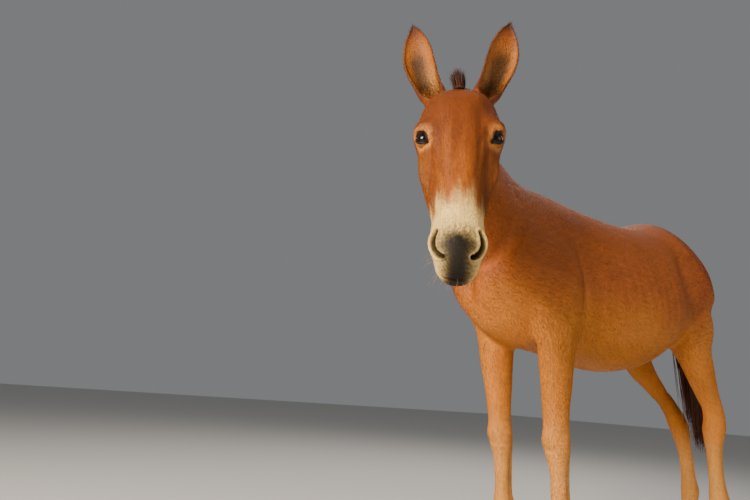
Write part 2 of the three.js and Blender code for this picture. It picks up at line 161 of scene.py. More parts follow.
def egg(share, half, above, below, squareAbove, squareBelow):
    angle = 2 * math.pi * share
    c, s = np.cos(angle), np.sin(angle)
    power = 2 / np.where(s > 0, squareAbove, squareBelow)
    reach = np.where(s > 0, above, below)
    return half * np.sign(c) * np.abs(c) ** power, reach * np.sign(s) * np.abs(s) ** power


# Meshes

def gridFaces(rings, around):
    i, k = np.meshgrid(np.arange(rings - 1), np.arange(around), indexing="ij")
    a, b = (i * around + k).ravel(), (i * around + (k + 1) % around).ravel()
    walls = np.vstack([np.stack([a, b, b + around], 1), np.stack([a, b + around, a + around], 1)])
    k = np.arange(around)
    first, last = rings * around, rings * around + 1
    foot = np.stack([np.full(around, first), (k + 1) % around, k], 1)
    top = (rings - 1) * around
    head = np.stack([np.full(around, last), top + k, top + (k + 1) % around], 1)
    return np.vstack([walls, foot, head])


def loft(rings, around, pointAt):
    t, share = np.meshgrid(np.linspace(0, 1, rings), np.arange(around) / around, indexing="ij")
    points = pointAt(t.ravel(), share.ravel())
    grid = points.reshape(rings, around, 3)
    points = np.vstack([points, grid[0].mean(0), grid[-1].mean(0)])
    faces = gridFaces(rings, around)
    a, b, c = points[faces[:, 0]], points[faces[:, 1]], points[faces[:, 2]]
    if np.einsum("ij,ij->", a, np.cross(b, c)) < 0:
        faces = faces[:, ::-1]
    return points, faces


def faceNormals(points, faces):
    a, b, c = points[faces[:, 0]], points[faces[:, 1]], points[faces[:, 2]]
    return np.cross(b - a, c - a)


def vertexNormals(points, faces):
    flat = faceNormals(points, faces)
    total = np.zeros_like(points)
    for corner in range(3):
        for axis in range(3):
            total[:, axis] += np.bincount(faces[:, corner], flat[:, axis], len(points))
    return unit(total)


def swell(shape, marks):
    points, faces = shape
    normals = vertexNormals(points, faces)
    push = np.zeros(len(points))
    for at, size, height in marks:
        push += height * mound(points, at, size)
    return points + normals * push[:, None], faces


def bothSides(marks):
    both = []
    for at, size, height in marks:
        both.append((at, size, height))
        both.append(((-at[0], at[1], at[2]), size, height))
    return both


def onSide(at, side):
    return np.array(at, float) * (side, 1, 1)


def joined(shapes):
    points, faces, count = [], [], 0
    for shapePoints, shapeFaces in shapes:
        points.append(shapePoints)
        faces.append(shapeFaces + count)
        count += len(shapePoints)
    return np.vstack(points), np.vstack(faces)


def newObject(name, points, faces, smooth=True):
    mesh = bpy.data.meshes.new(name)
    mesh.vertices.add(len(points))
    mesh.vertices.foreach_set("co", np.asarray(points, np.float32).ravel())
    mesh.loops.add(faces.size)
    mesh.loops.foreach_set("vertex_index", faces.astype(np.int32).ravel())
    mesh.polygons.add(len(faces))
    mesh.polygons.foreach_set("loop_start", np.arange(0, faces.size, faces.shape[1], dtype=np.int32))
    mesh.update(calc_edges=True)
    mesh.polygons.foreach_set("use_smooth", np.full(len(faces), smooth))
    obj = bpy.data.objects.new(name, mesh)
    bpy.context.scene.collection.objects.link(obj)
    return obj


def paint(mesh, colours):
    layer = mesh.color_attributes.new("markings", "FLOAT_COLOR", "POINT")
    full = np.ones((len(colours), 4), np.float32)
    full[:, :3] = colours
    layer.data.foreach_set("color", full.ravel())


def mapOnto(mesh, uvs, faces):
    layer = mesh.uv_layers.new(name="OFBake")
    layer.data.foreach_set("uv", uvs[faces.ravel()].astype(np.float32).ravel())


def coordinates(mesh):
    points = np.empty(len(mesh.vertices) * 3, np.float32)
    mesh.vertices.foreach_get("co", points)
    return points.reshape(-1, 3).astype(float)


def pointsOf(mesh):
    return (coordinates(mesh) - origin) / mm


def normalsOf(mesh):
    normals = np.empty(len(mesh.vertices) * 3, np.float32)
    mesh.vertex_normals.foreach_get("vector", normals)
    return normals.reshape(-1, 3).astype(float)


def place(mesh, points):
    mesh.vertices.foreach_set("co", np.asarray(points, np.float32).ravel())
    mesh.update()


def finished(obj, material, slot, *nodes):
    obj.data.materials.clear()
    obj.data.materials.append(material)
    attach(obj, bodyName)
    if nodes:
        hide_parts(*nodes)


bodyName = next(iter(frame["bodies"]))


# Trunk, neck and legs

# along, top, widest level, bottom, half width, squareness above and below
torsoRows = [
    (-352, 1115, 1070, 1025, 38, 2, 2),
    (-338, 1180, 1068, 962, 90, 2, 2),
    (-296, 1275, 1060, 905, 147, 2, 2),
    (-215, 1420, 1070, 852, 186, 1.7, 2.1),
    (-105, 1494, 1080, 814, 212, 1.5, 2.2),
    (0, 1500, 1085, 806, 226, 1.5, 2.2),
    (120, 1482, 1088, 796, 246, 1.6, 2.2),
    (260, 1455, 1085, 772, 270, 1.85, 2.1),
    (410, 1445, 1080, 760, 288, 1.95, 2.1),
    (560, 1460, 1090, 786, 286, 1.95, 2.1),
    (680, 1504, 1120, 838, 270, 1.9, 2.1),
    (780, 1538, 1150, 888, 254, 1.9, 2),
    (870, 1542, 1165, 915, 244, 1.9, 2),
    (960, 1512, 1170, 938, 226, 1.9, 2),
    (1036, 1442, 1168, 965, 190, 1.9, 2),
    (1088, 1340, 1165, 1010, 134, 2, 2),
    (1112, 1250, 1165, 1085, 62, 2, 2),
]
torsoMarks = bothSides([
    ((190, -200, 1120), (80, 110, 130), 16),    # shoulder muscle
    ((205, -40, 1010), (70, 80, 110), 18),      # triceps
    ((165, 40, 1330), (70, 60, 120), 9),        # back edge of the shoulder blade
    ((215, 80, 1160), (60, 50, 170), -10),      # hollow behind the shoulder
    ((250, 705, 1180), (60, 60, 130), -16),     # flank
    ((205, 775, 1370), (55, 50, 60), 13),       # point of the hip
    ((215, 930, 1230), (70, 110, 130), 14),     # gluteal muscle
    ((120, 1110, 1190), (60, 50, 90), 10),      # point of the buttock
    ((90, -330, 1040), (70, 60, 80), 14),       # breast
    ((0, -345, 1060), (26, 50, 110), -12),      # furrow of the breast, once from each side
])
# centre x, y, z, half width, reach above and below
neckRows = [
    (0, 70, 1165, 150, 285, 250),
    (0, -95, 1190, 150, 285, 268),
    (18, -235, 1255, 132, 300, 232),
    (70, -365, 1335, 106, 275, 190),
    (140, -478, 1400, 88, 235, 162),
    (218, -574, 1448, 80, 200, 150),
    (292, -648, 1468, 78, 138, 140),
    (348, -696, 1474, 70, 74, 110),
]
# height, centre x and y, half width, reach to the front and to the back
forelegRows = [
    (1100, 100, -150, 56, 110, 110),
    (985, 134, -105, 68, 120, 125),
    (895, 152, -64, 71, 104, 118),
    (820, 155, -58, 64, 82, 80),
    (740, 151, -60, 55, 70, 66),
    (660, 147, -62, 50, 63, 59),
    (590, 144, -66, 47, 56, 49),
    (530, 143, -68, 46, 50, 46),
    (482, 142, -70, 49, 53, 49),
    (436, 141, -68, 42, 44, 48),
    (394, 141, -64, 33, 36, 44),
    (330, 140, -62, 30, 33, 41),
    (270, 140, -62, 31, 34, 43),
    (228, 140, -64, 37, 41, 51),
    (190, 140, -72, 35, 39, 45),
    (150, 140, -88, 32, 34, 36),
    (110, 140, -102, 37, 37, 38),
    (76, 140, -110, 45, 44, 45),
    (20, 140, -124, 40, 40, 40),
]
hindlegRows = [
    (1190, 112, 920, 78, 130, 120),
    (1085, 138, 900, 86, 160, 130),
    (985, 152, 885, 86, 165, 122),
    (905, 152, 890, 70, 146, 92),
    (835, 152, 921, 60, 113, 76),
    (762, 149, 963, 52, 88, 64),
    (692, 145, 1012, 45, 66, 64),
    (640, 143, 1044, 41, 56, 69),
    (600, 141, 1060, 42, 55, 67),
    (560, 139, 1062, 45, 57, 59),
    (510, 137, 1056, 41, 50, 49),
    (460, 136, 1051, 34, 40, 45),
    (400, 135, 1050, 31, 37, 43),
    (320, 134, 1050, 31, 36, 43),
    (255, 134, 1050, 38, 43, 51),
    (215, 134, 1042, 36, 40, 45),
    (170, 134, 1022, 33, 35, 36),
    (125, 134, 1004, 38, 38, 38),
    (88, 134, 994, 45, 44, 45),
    (20, 134, 980, 40, 40, 40),
]
# where each foot stands: out to the side, and back
footShift = {
    ("fore", "left"): (4, 4), ("fore", "right"): (-12, 10),
    ("hind", "left"): (-8, -38), ("hind", "right"): (-38, 146),
}
sides = {"left": 1, "right": -1}


def footOffset(kind, sideName, z):
    # how far a leg has moved out and back at a height: all at the foot, nothing where it joins the body
    out, back = footShift[kind, sideName]
    top = (forelegRows if kind == "fore" else hindlegRows)[2][0]
    share = ramp(top - z, 0, top * 0.62)
    return out * share, back * share


def legRows(kind, sideName):
    rows = np.array(forelegRows if kind == "fore" else hindlegRows, float)
    out, back = footOffset(kind, sideName, rows[:, 0])
    rows[:, 1] += out
    rows[:, 2] += back
    return rows


def limb(rows, side, rings=150, around=72, square=2.1):
    def pointAt(t, share):
        z, x, y, half, front, back = track(rows, t).T
        across, along = egg(share, half, back, front, square, square)
        return np.stack([side * (x + across), y + along, z], 1)
    return loft(rings, around, pointAt)


def bodyOnRings(rows, rings, around, order):
    def pointAt(t, share):
        along, top, widest, bottom, half, above, below = track(rows, t).T
        across, up = egg(share, half, top - widest, widest - bottom, above, below)
        columns = {"along": along, "across": across, "up": widest + up}
        return np.stack([columns[name] for name in order], 1)
    return loft(rings, around, pointAt)


def neckShape():
    rows = np.array(neckRows, float)

    def pointAt(t, share):
        centre = track(rows[:, :3], t)
        tangent = tangentOf(rows[:, :3], t)
        across = unit(np.cross(tangent, (0, 0, 1)))
        up = np.cross(across, tangent)
        half, above, below = track(rows[:, 3:], t).T
        x, y = egg(share, half, above, below, 1.75, 2.1)
        return centre + across * x[:, None] + up * y[:, None]
    return loft(110, 110, pointAt)


# Head, in its own frame: across to the mule's left, out of the face, down the face

head = {
    "yaw": 52.0, "pitch": 12.0, "poll": (388, -738, 1580),
    "eye": (98, -40, 262), "eyeRadius": 25, "eyeHalf": 25, "upperLid": 18, "lowerLid": 11,
    "mouthFrom": 604,    # corner of the mouth, down the face
}
yaw, pitch = math.radians(head["yaw"]), math.radians(head["pitch"])
headForward = np.array([math.sin(yaw), -math.cos(yaw), 0])
headAcross = np.array([math.cos(yaw), math.sin(yaw), 0])
headDown = np.array([0, 0, -math.cos(pitch)]) + headForward * math.sin(pitch)
headOut = np.cross(headDown, headAcross)
headBasis = np.stack([headAcross, headOut, headDown])    # rows are the axes


def fromHead(points):
    return np.asarray(points, float) @ headBasis + head["poll"]


def toHead(points):
    return (points - head["poll"]) @ headBasis.T


# down the face, face line, widest level, jaw line, half width, squareness above and below
headRows = [
    (12, -94, -116, -150, 44, 2, 2),
    (26, -70, -108, -205, 76, 2.2, 2),
    (66, -28, -98, -252, 100, 2.2, 2),
    (124, 4, -90, -284, 115, 2.2, 2.1),
    (190, 17, -84, -300, 125, 2.2, 2.1),
    (250, 20, -84, -292, 122, 2.2, 2.1),
    (305, 18, -92, -266, 114, 1.95, 2.1),
    (365, 14, -100, -236, 107, 1.85, 2.1),
    (435, 8, -94, -200, 93, 1.85, 2.1),
    (505, 2, -76, -162, 74, 2.1, 2.2),
    (560, -2, -72, -148, 71, 2.4, 2.3),
    (606, -7, -72, -150, 71, 2.4, 2.3),
    (642, -18, -78, -150, 60, 2.3, 2.2),
    (668, -34, -86, -148, 48, 2.2, 2.2),
    (684, -56, -92, -136, 34, 2, 2),
    (690, -78, -94, -112, 14, 2, 2),
]
headMarks = bothSides([
    ((108, -44, 232), (26, 40, 28), 22),      # brow
    ((90, -14, 162), (24, 30, 28), -11),      # temple hollow
    ((112, -120, 200), (40, 70, 60), 7),      # cheek
    ((100, -78, 330), (24, 16, 70), 9),       # facial crest
    ((72, -30, 420), (22, 30, 70), -7),       # hollow beside the nose bone
    ((70, -44, 602), (20, 34, 34), 8),        # nostril wing
    ((30, -118, 660), (28, 16, 22), 5),       # lower lip
    ((30, -66, 674), (32, 22, 18), 5),        # upper lip
    ((0, -158, 640), (34, 18, 34), 7),        # chin
    ((0, -250, 230), (26, 60, 130), -14),     # hollow between the jaws
])


def headShape():
    points, faces = swell(bodyOnRings(headRows, 170, 140, ("across", "up", "along")), headMarks)
    return fromHead(points), faces


# Ears

ears = {
    "length": 305, "base": (70, -78, 68),
    "lean": 18.0,      # degrees, outwards
    "forward": 0.2, "turn": 0.3,
    "bow": 16, "tipBow": 4, "backBow": 12,
}
# share of the length, half width, cup depth, how far the edges wrap round, thickness
earRows = [
    (-0.16, 48, 44, 3.0, 12),
    (-0.06, 42, 38, 2.9, 10),
    (0.03, 40, 34, 2.6, 8),
    (0.12, 44, 35, 2.2, 7),
    (0.3, 46, 33, 1.95, 5.5),
    (0.5, 51, 31, 1.75, 4.5),
    (0.7, 49, 25, 1.55, 4),
    (0.87, 33, 15, 1.4, 3.5),
    (1, 4, 3, 1.35, 1.6),
]
earRings, earArc = 90, 34
earPoints = earRings * earArc * 2


def turned(angle, axis):
    return np.array(Matrix.Rotation(angle, 3, axis))


def earShape(side):
    lean = turned(-side * math.radians(ears["lean"]), "Y")
    turn = lean @ turned(ears["forward"], "X") @ turned(-side * ears["turn"], "Z")

    def pointAt(t, share):
        along, half, depth, wrap, thick = track(earRows, t).T
        k = np.rint(share * earArc * 2)
        inside = k >= earArc
        angle = wrap * np.where(inside, 1 - 2 * (k - earArc) / (earArc - 1), 2 * k / (earArc - 1) - 1)
        shrink = np.where(inside, thick, 0)
        bow = side * (ears["bow"] * np.sin(math.pi * along) - ears["tipBow"] * along**3)
        x = (half - shrink) * np.sin(angle) + bow
        y = -(depth - shrink) * np.cos(angle) - ears["backBow"] * np.sin(math.pi * along)
        local = np.stack([x, y, -along * ears["length"]], 1) @ turn.T
        return fromHead(local + onSide(ears["base"], side))
    return loft(earRings, earArc * 2, pointAt)


# Skin

skinBuild = {
    "voxel": 7.2,
    "coatDepth": 3.0, "faceDepth": 1.2, "footDepth": 1.6,     # how far the skin lies inside the solids
    "easeRounds": 26, "bodyRounds": 5, "headRounds": 6,       # rounds of smoothing
    "fineRoundEyes": 62, "fineFromMuzzle": 556,
}


def remeshed(shape, voxel):
    rough = newObject("rough", toMetres(shape[0]), shape[1])
    modifier = rough.modifiers.new("remesh", "REMESH")
    modifier.mode = "VOXEL"
    modifier.voxel_size = voxel * mm
    graph = bpy.context.evaluated_depsgraph_get()
    mesh = bpy.data.meshes.new_from_object(rough.evaluated_get(graph))
    old = rough.data
    bpy.data.objects.remove(rough)
    bpy.data.meshes.remove(old)
    return mesh


def relax(mesh, points, rounds, share):
    ends = np.empty(len(mesh.edges) * 2, np.int32)
    mesh.edges.foreach_get("vertices", ends)
    a, b = ends.reshape(-1, 2).T
    start, end = np.concatenate([a, b]), np.concatenate([b, a])
    count = np.maximum(np.bincount(start, minlength=len(points)), 1)[:, None]
    share = np.broadcast_to(share, len(points))[:, None]
    for _ in range(rounds):
        mean = np.stack([np.bincount(start, points[end, axis], len(points)) for axis in range(3)], 1) / count
        points = points + (mean - points) * share
    return points


def split(mesh, chosen):
    work = bmesh.new()
    work.from_mesh(mesh)
    work.faces.ensure_lookup_table()
    edges = {edge for index in np.flatnonzero(chosen) for edge in work.faces[index].edges}
    bmesh.ops.subdivide_edges(work, edges=list(edges), cuts=1, use_grid_fill=True)
    work.to_mesh(mesh)
    work.free()
    mesh.update()


def faceCentres(mesh):
    centres = np.empty(len(mesh.polygons) * 3, np.float32)
    mesh.polygons.foreach_get("center", centres)
    return (centres.reshape(-1, 3) - origin) / mm


def eyeAxes(side):
    gaze = unit((side * 0.74, 0.64, 0.12))
    toMuzzle = np.array((-side * 0.5, 0.45, 0.72))
    y = unit(np.cross(gaze, toMuzzle))
    x = np.cross(y, gaze)
    return onSide(head["eye"], side), x, -side * y, gaze    # toward the muzzle, toward the brow, outwards


def eyeLocal(local, side):
    centre, x, up, gaze = eyeAxes(side)
    return (local - centre) @ np.stack([x, up, gaze]).T


def lidLine(x):
    span = 1 - (x / head["eyeHalf"]) ** 2
    return head["upperLid"] * span, -head["lowerLid"] * span


def outsideOpening(x, u):
    top, low = lidLine(x)
    edge = np.maximum(u - top, low - u) * 0.8
    beyond = np.hypot(np.abs(x) - head["eyeHalf"], u)
    return np.where(np.abs(x) < head["eyeHalf"], edge, np.maximum(beyond, 0.1))


def sinkEyes(local):
    radius = head["eyeRadius"]
    for side in sides.values():
        centre, xAxis, upAxis, gaze = eyeAxes(side)
        x, u, w = eyeLocal(local, side).T
        far = np.sqrt(x * x + u * u + w * w)
        outside = outsideOpening(x, u)
        near = (w > -6) & (far < 90)
        lid = radius + 2.6 - 1.4 * bell((outside - 6.5) / 2.2) * (u > 0)
        pull = bell(np.maximum(outside, 0) / np.where(u > 0, 11, 13))
        goal = np.where(outside < -0.6, radius - 5, lid)
        reach = far + (goal - far) * np.where(outside < 0, 1, pull)
        scale = np.where(near, reach / np.maximum(far, 1e-6), 1)
        moved = np.stack([x, u, w], 1) * scale[:, None]
        local = np.where(near[:, None], centre + moved @ np.stack([xAxis, upAxis, gaze]), local)
    return local


nostril = {
    "line": [(62, -18, 584), (68, -26, 600), (66, -36, 617), (56, -42, 632), (42, -40, 643), (30, -38, 646)],
    "width": [8, 11, 12, 11, 8.5, 5.5], "depth": 32, "rim": 3.2,
    "inward": (0.75, 0.6, 0.25),
}


def nostrilField(local, side):
    # distance from the nostril's line, as a share of its half width
    line = track(nostril["line"], np.linspace(0, 1, 40)) * (side, 1, 1)
    width = track(np.array(nostril["width"])[:, None], np.linspace(0, 1, 40))[:, 0]
    inward = unit(onSide(nostril["inward"], side))
    nearest = np.full(len(local), 1e9)
    for point, half in zip(line, width):
        offset = local - point
        offset = offset - inward * np.clip(offset @ inward, -45, 12)[:, None] * 0.85
        nearest = np.minimum(nearest, np.linalg.norm(offset, axis=1) / half)
    return nearest


def mouthPlane(local):
    return -118 + 0.42 * (local[:, 2] - 600) - local[:, 1]


def sculptHead(mesh):
    points = pointsOf(mesh)
    local = toHead(points)
    normals = normalsOf(mesh) @ headBasis.T
    push = np.zeros(len(local))
    d = local[:, 2]
    isHead = headShare(points) > 0.5
    for side in sides.values():
        near = nostrilField(local, side)
        push -= nostril["depth"] * ramp(-near, -1.05, -0.35) * isHead
        push += nostril["rim"] * bell((near - 1.35) / 0.35) * isHead
    # line of the mouth
    plane = mouthPlane(local)
    level = bell(plane / 3.8) * ramp(d, head["mouthFrom"] - 8, head["mouthFrom"] + 10)
    push -= 9 * level * isHead
    for offset, height in ((9, 2.2), (-9, 2.0)):
        push += height * bell((plane - offset) / 6) * ramp(d, 610, 640) * isHead
    for at, size, height in headDetail:
        push += height * mound(local, at, size)
    local = local + normals * push[:, None]
    local = sinkEyes(local)
    place(mesh, toMetres(fromHead(local)))


headDetail = bothSides([
    ((110, -24, 222), (17, 16, 17), 8),       # bone above the eye
    ((62, 10, 218), (20, 16, 34), -5),        # dish between brow and forehead
    ((28, 24, 180), (28, 14, 70), 3),
    ((100, -70, 360), (13, 11, 56), 8),       # facial crest
    ((82, -26, 350), (14, 20, 60), -4),       # hollow above it
    ((94, -104, 420), (18, 26, 50), -8),      # hollow under it
    ((80, -60, 500), (12, 26, 34), -5),
    ((58, 6, 360), (11, 14, 90), -3),         # groove beside the nose bone
    ((50, 0, 455), (9, 14, 50), -2.2),
    ((84, 4, 268), (10, 12, 22), -3.5),       # crease from the eye's front corner
    ((112, -62, 262), (16, 9, 24), 2.5),      # cushion below the eye
    ((42, 14, 370), (12, 14, 110), 3),        # edge of the nose bone
    ((0, 14, 400), (14, 14, 120), -1.6),
    ((88, -60, 400), (7, 10, 60), 2.2),       # vein towards the crest
    ((78, -58, 470), (9, 14, 30), -3),        # hollow above the nostril
    ((52, 0, 560), (12, 14, 26), 2.5),        # lifted cartilage over the nostril
    ((0, 4, 590), (16, 16, 40), 1.2),
    ((62, -96, 628), (14, 14, 18), -2.5),     # corner of the mouth
    ((84, -110, 330), (30, 30, 60), 4),       # chewing muscle
    ((60, -4, 118), (20, 20, 30), 3),
])


# relief on the left half of the trunk, mirrored: from, to, width, height
trunkRidges = [
    ((95, -80, 1440), (190, -280, 1130), 30, 6),       # front edge of the shoulder blade
    ((115, -215, 1370), (150, -345, 1130), 24, -6),    # where the neck meets it
    ((226, 22, 1270), (226, 40, 900), 24, -11),        # behind the shoulder
    ((226, -60, 1150), (228, -50, 960), 44, 7),
    ((200, -170, 925), (222, 30, 950), 20, 6),         # lower edge of the triceps
    ((165, -302, 1092), (165, -298, 1080), 46, 10),    # point of the shoulder
    ((55, -345, 1030), (60, -330, 960), 36, 8),        # breast muscle
    ((118, -330, 1000), (130, -230, 870), 18, -7),
    ((240, 630, 880), (205, 770, 925), 24, 8),         # fold of the flank
    ((246, 668, 1160), (250, 690, 1230), 46, -8),
    ((190, 1010, 1260), (188, 965, 960), 22, -7),      # groove of the hamstrings
    ((228, 800, 1330), (215, 960, 1150), 30, 6),
    ((0, 800, 1545), (0, 985, 1510), 16, -2.5),        # groove of the croup, once from each side
    ((268, 320, 1330), (292, 440, 1200), 60, -3),
]
ribs = {"first": 205, "step": 50, "count": 8, "from": 900, "to": 1270, "height": 1.3, "width": 15}
# relief on a left leg before its foot is moved: at, size, height
forelegMarks = [
    ((178, 22, 880), (40, 34, 46), 9),       # elbow
    ((172, -104, 770), (32, 30, 90), 7),     # muscles of the forearm
    ((150, 8, 745), (36, 26, 90), 5),
    ((128, -112, 760), (22, 24, 70), 4),
    ((143, -118, 492), (36, 16, 26), 4),     # knee
    ((143, -112, 452), (34, 14, 11), -2.5),
    ((146, -20, 504), (20, 14, 26), 7),
    ((190, -72, 515), (12, 26, 16), -2),
    ((176, -50, 330), (11, 9, 100), -4.5),   # grooves before the tendon
    ((106, -50, 330), (11, 9, 100), -4.5),
    ((140, -16, 224), (26, 16, 26), 5),      # fetlock
    ((140, -62, 140), (26, 14, 24), -3),
]
hindlegMarks = [
    ((205, 770, 955), (46, 44, 56), 13),     # stifle
    ((196, 905, 785), (32, 44, 80), 6),
    ((176, 1012, 690), (13, 20, 62), -7),    # hollows before the tendon of the hock
    ((116, 1012, 690), (13, 20, 62), -7),
    ((143, 1124, 634), (18, 18, 24), 7),
    ((138, 1004, 560), (26, 14, 26), 3),
    ((99, 1052, 552), (14, 26, 28), 4),
    ((170, 1062, 350), (11, 9, 100), -4.5),
    ((100, 1062, 350), (11, 9, 100), -4.5),
    ((134, 1100, 250), (26, 16, 26), 5),
    ((134, 1052, 160), (26, 14, 24), -3),
]


def sculptBody(mesh):
    points = pointsOf(mesh)
    mirrored = points.copy()
    mirrored[:, 0] = np.abs(points[:, 0])
    body = 1 - headShare(points)
    push = np.zeros(len(points))
    notNeck = ramp(points[:, 1] + 0.35 * (1330 - points[:, 2]), -330, -200)
    for start, end, width, height in trunkRidges:
        start, end = np.array(start, float), np.array(end, float)
        t = np.clip((mirrored - start) @ (end - start) / ((end - start) @ (end - start)), 0, 1)[:, None]
        gapHere = np.linalg.norm(mirrored - start - (end - start) * t, axis=1)
        push += height * bell(gapHere / width) * notNeck
    x, y, z = points.T
    for number in range(ribs["count"]):
        along = y - ribs["first"] - number * ribs["step"] - 0.22 * (1100 - z)
        level = ramp(z, ribs["from"], ribs["from"] + 120) * ramp(-z, -ribs["to"], 130 - ribs["to"])
        push += ribs["height"] * bell(along / ribs["width"]) * level * (np.abs(x) > 120)
    for kind, sideName in footShift:
        side = sides[sideName]
        for at, size, height in forelegMarks if kind == "fore" else hindlegMarks:
            out, back = footOffset(kind, sideName, np.array(at[2], float))
            spot = np.array([side * (at[0] + out), at[1] + back, at[2]])
            push += height * mound(points, spot, size)
    push += 1.4 * waves(points, 300, 61, 2)
    place(mesh, toMetres(points + normalsOf(mesh) * (push * body)[:, None]))


def headShare(points):
    # 1 on the head and 0 on the neck and body
    local = toHead(points)
    cut = ramp((local - (0, -158, 110)) @ unit((0, 0.86, 0.5)), -12, 12)
    return cut * ramp(-local[:, 2], -800, -740) * ramp(local[:, 1], -430, -370)


def buildSkin():
    torso = swell(bodyOnRings(torsoRows, 240, 170, ("across", "along", "up")), torsoMarks)
    legs = [limb(legRows(kind, sideName), sides[sideName]) for kind, sideName in footShift]
    mesh = remeshed(joined([torso, neckShape(), headShape()] + legs), skinBuild["voxel"])
    points = pointsOf(mesh)
    # the joins of legs, neck and head are eased, everything else only a little
    _, y, z = points.T
    elbow = np.exp(-(((z - 930) / 130) ** 2) - (((y + 70) / 190) ** 2))
    stifle = np.exp(-(((z - 980) / 170) ** 2) - (((y - 900) / 230) ** 2))
    neckBase = bell((y + 190) / 130) * ramp(z, 1000, 1150) * ramp(-z, -1470, -1360)
    throat = bell(np.linalg.norm(points - (350, -640, 1400), axis=1) / 130)
    ease = np.clip(elbow + stifle + neckBase + 0.7 * throat, 0, 1)
    soft = relax(mesh, points, skinBuild["easeRounds"], 0.55 * ease)
    soft = relax(mesh, soft, skinBuild["bodyRounds"], 0.5)
    place(mesh, toMetres(soft))
    sculptBody(mesh)
    # the head gets a finer mesh, and the eyes and the muzzle a finer one still
    split(mesh, headShare(faceCentres(mesh)) > 0.2)
    centres = faceCentres(mesh)
    local = toHead(centres)
    fine = (local[:, 2] > skinBuild["fineFromMuzzle"]) & (headShare(centres) > 0.5)
    for side in sides.values():
        fine |= np.linalg.norm(local - onSide(head["eye"], side), axis=1) < skinBuild["fineRoundEyes"]
    split(mesh, fine)
    points = pointsOf(mesh)
    place(mesh, toMetres(relax(mesh, points, skinBuild["headRounds"], 0.5 * headShare(points))))
    sculptHead(mesh)
    return mesh


def sinkUnderCoat(mesh):
    points = pointsOf(mesh)
    depth = skinBuild["coatDepth"] + (skinBuild["faceDepth"] - skinBuild["coatDepth"]) * headShare(points)
    depth = np.minimum(depth, skinBuild["footDepth"] + ramp(points[:, 2], 300, 800) * 9)
    place(mesh, toMetres(points - normalsOf(mesh) * depth[:, None]))


skinMesh = buildSkin()
sinkUnderCoat(skinMesh)
print("skin built:", len(skinMesh.vertices), "points")


# Colours, as seen, turned to the light's own scale

def tint(red, green, blue):
    value = np.array((red, green, blue), float) / 255
    return np.where(value <= 0.04045, value / 12.92, ((value + 0.055) / 1.055) ** 2.4)


coatTints = {
    "chestnut": tint(162, 84, 26),
    "rump": tint(140, 62, 14),
    "golden": tint(209, 129, 44),
    "cannon": tint(226, 160, 82),
    "face": tint(122, 60, 15),
    "noseBone": tint(162, 86, 20),
    # painted shade for the creases of the face
    "creaseShade": tint(70, 34, 12),
    "cream": tint(248, 212, 132),
    "nose": tint(29, 20, 9),
    "ring": tint(206, 132, 60),
    "lid": tint(24, 16, 12),
    "earBack": tint(116, 55, 12),
    # painted shade for the hollow of the ear's cup
    "earCupShade": tint(74, 46, 16),
    "earLow": tint(176, 120, 54),
    "earEdge": tint(56, 30, 12),
}


def blendTo(colours, tintName, share):
    share = np.clip(share, 0, 1)[:, None]
    return colours * (1 - share) + coatTints[tintName] * share


# painted shade in the face's creases, as dark streaks down the face: distance from the middle, width, where
# they start and end, depth
creaseShades = [(57, 8, 220, 460, 0.22), (84, 10, 330, 520, 0.18), (14, 6, 320, 460, 0.1)]


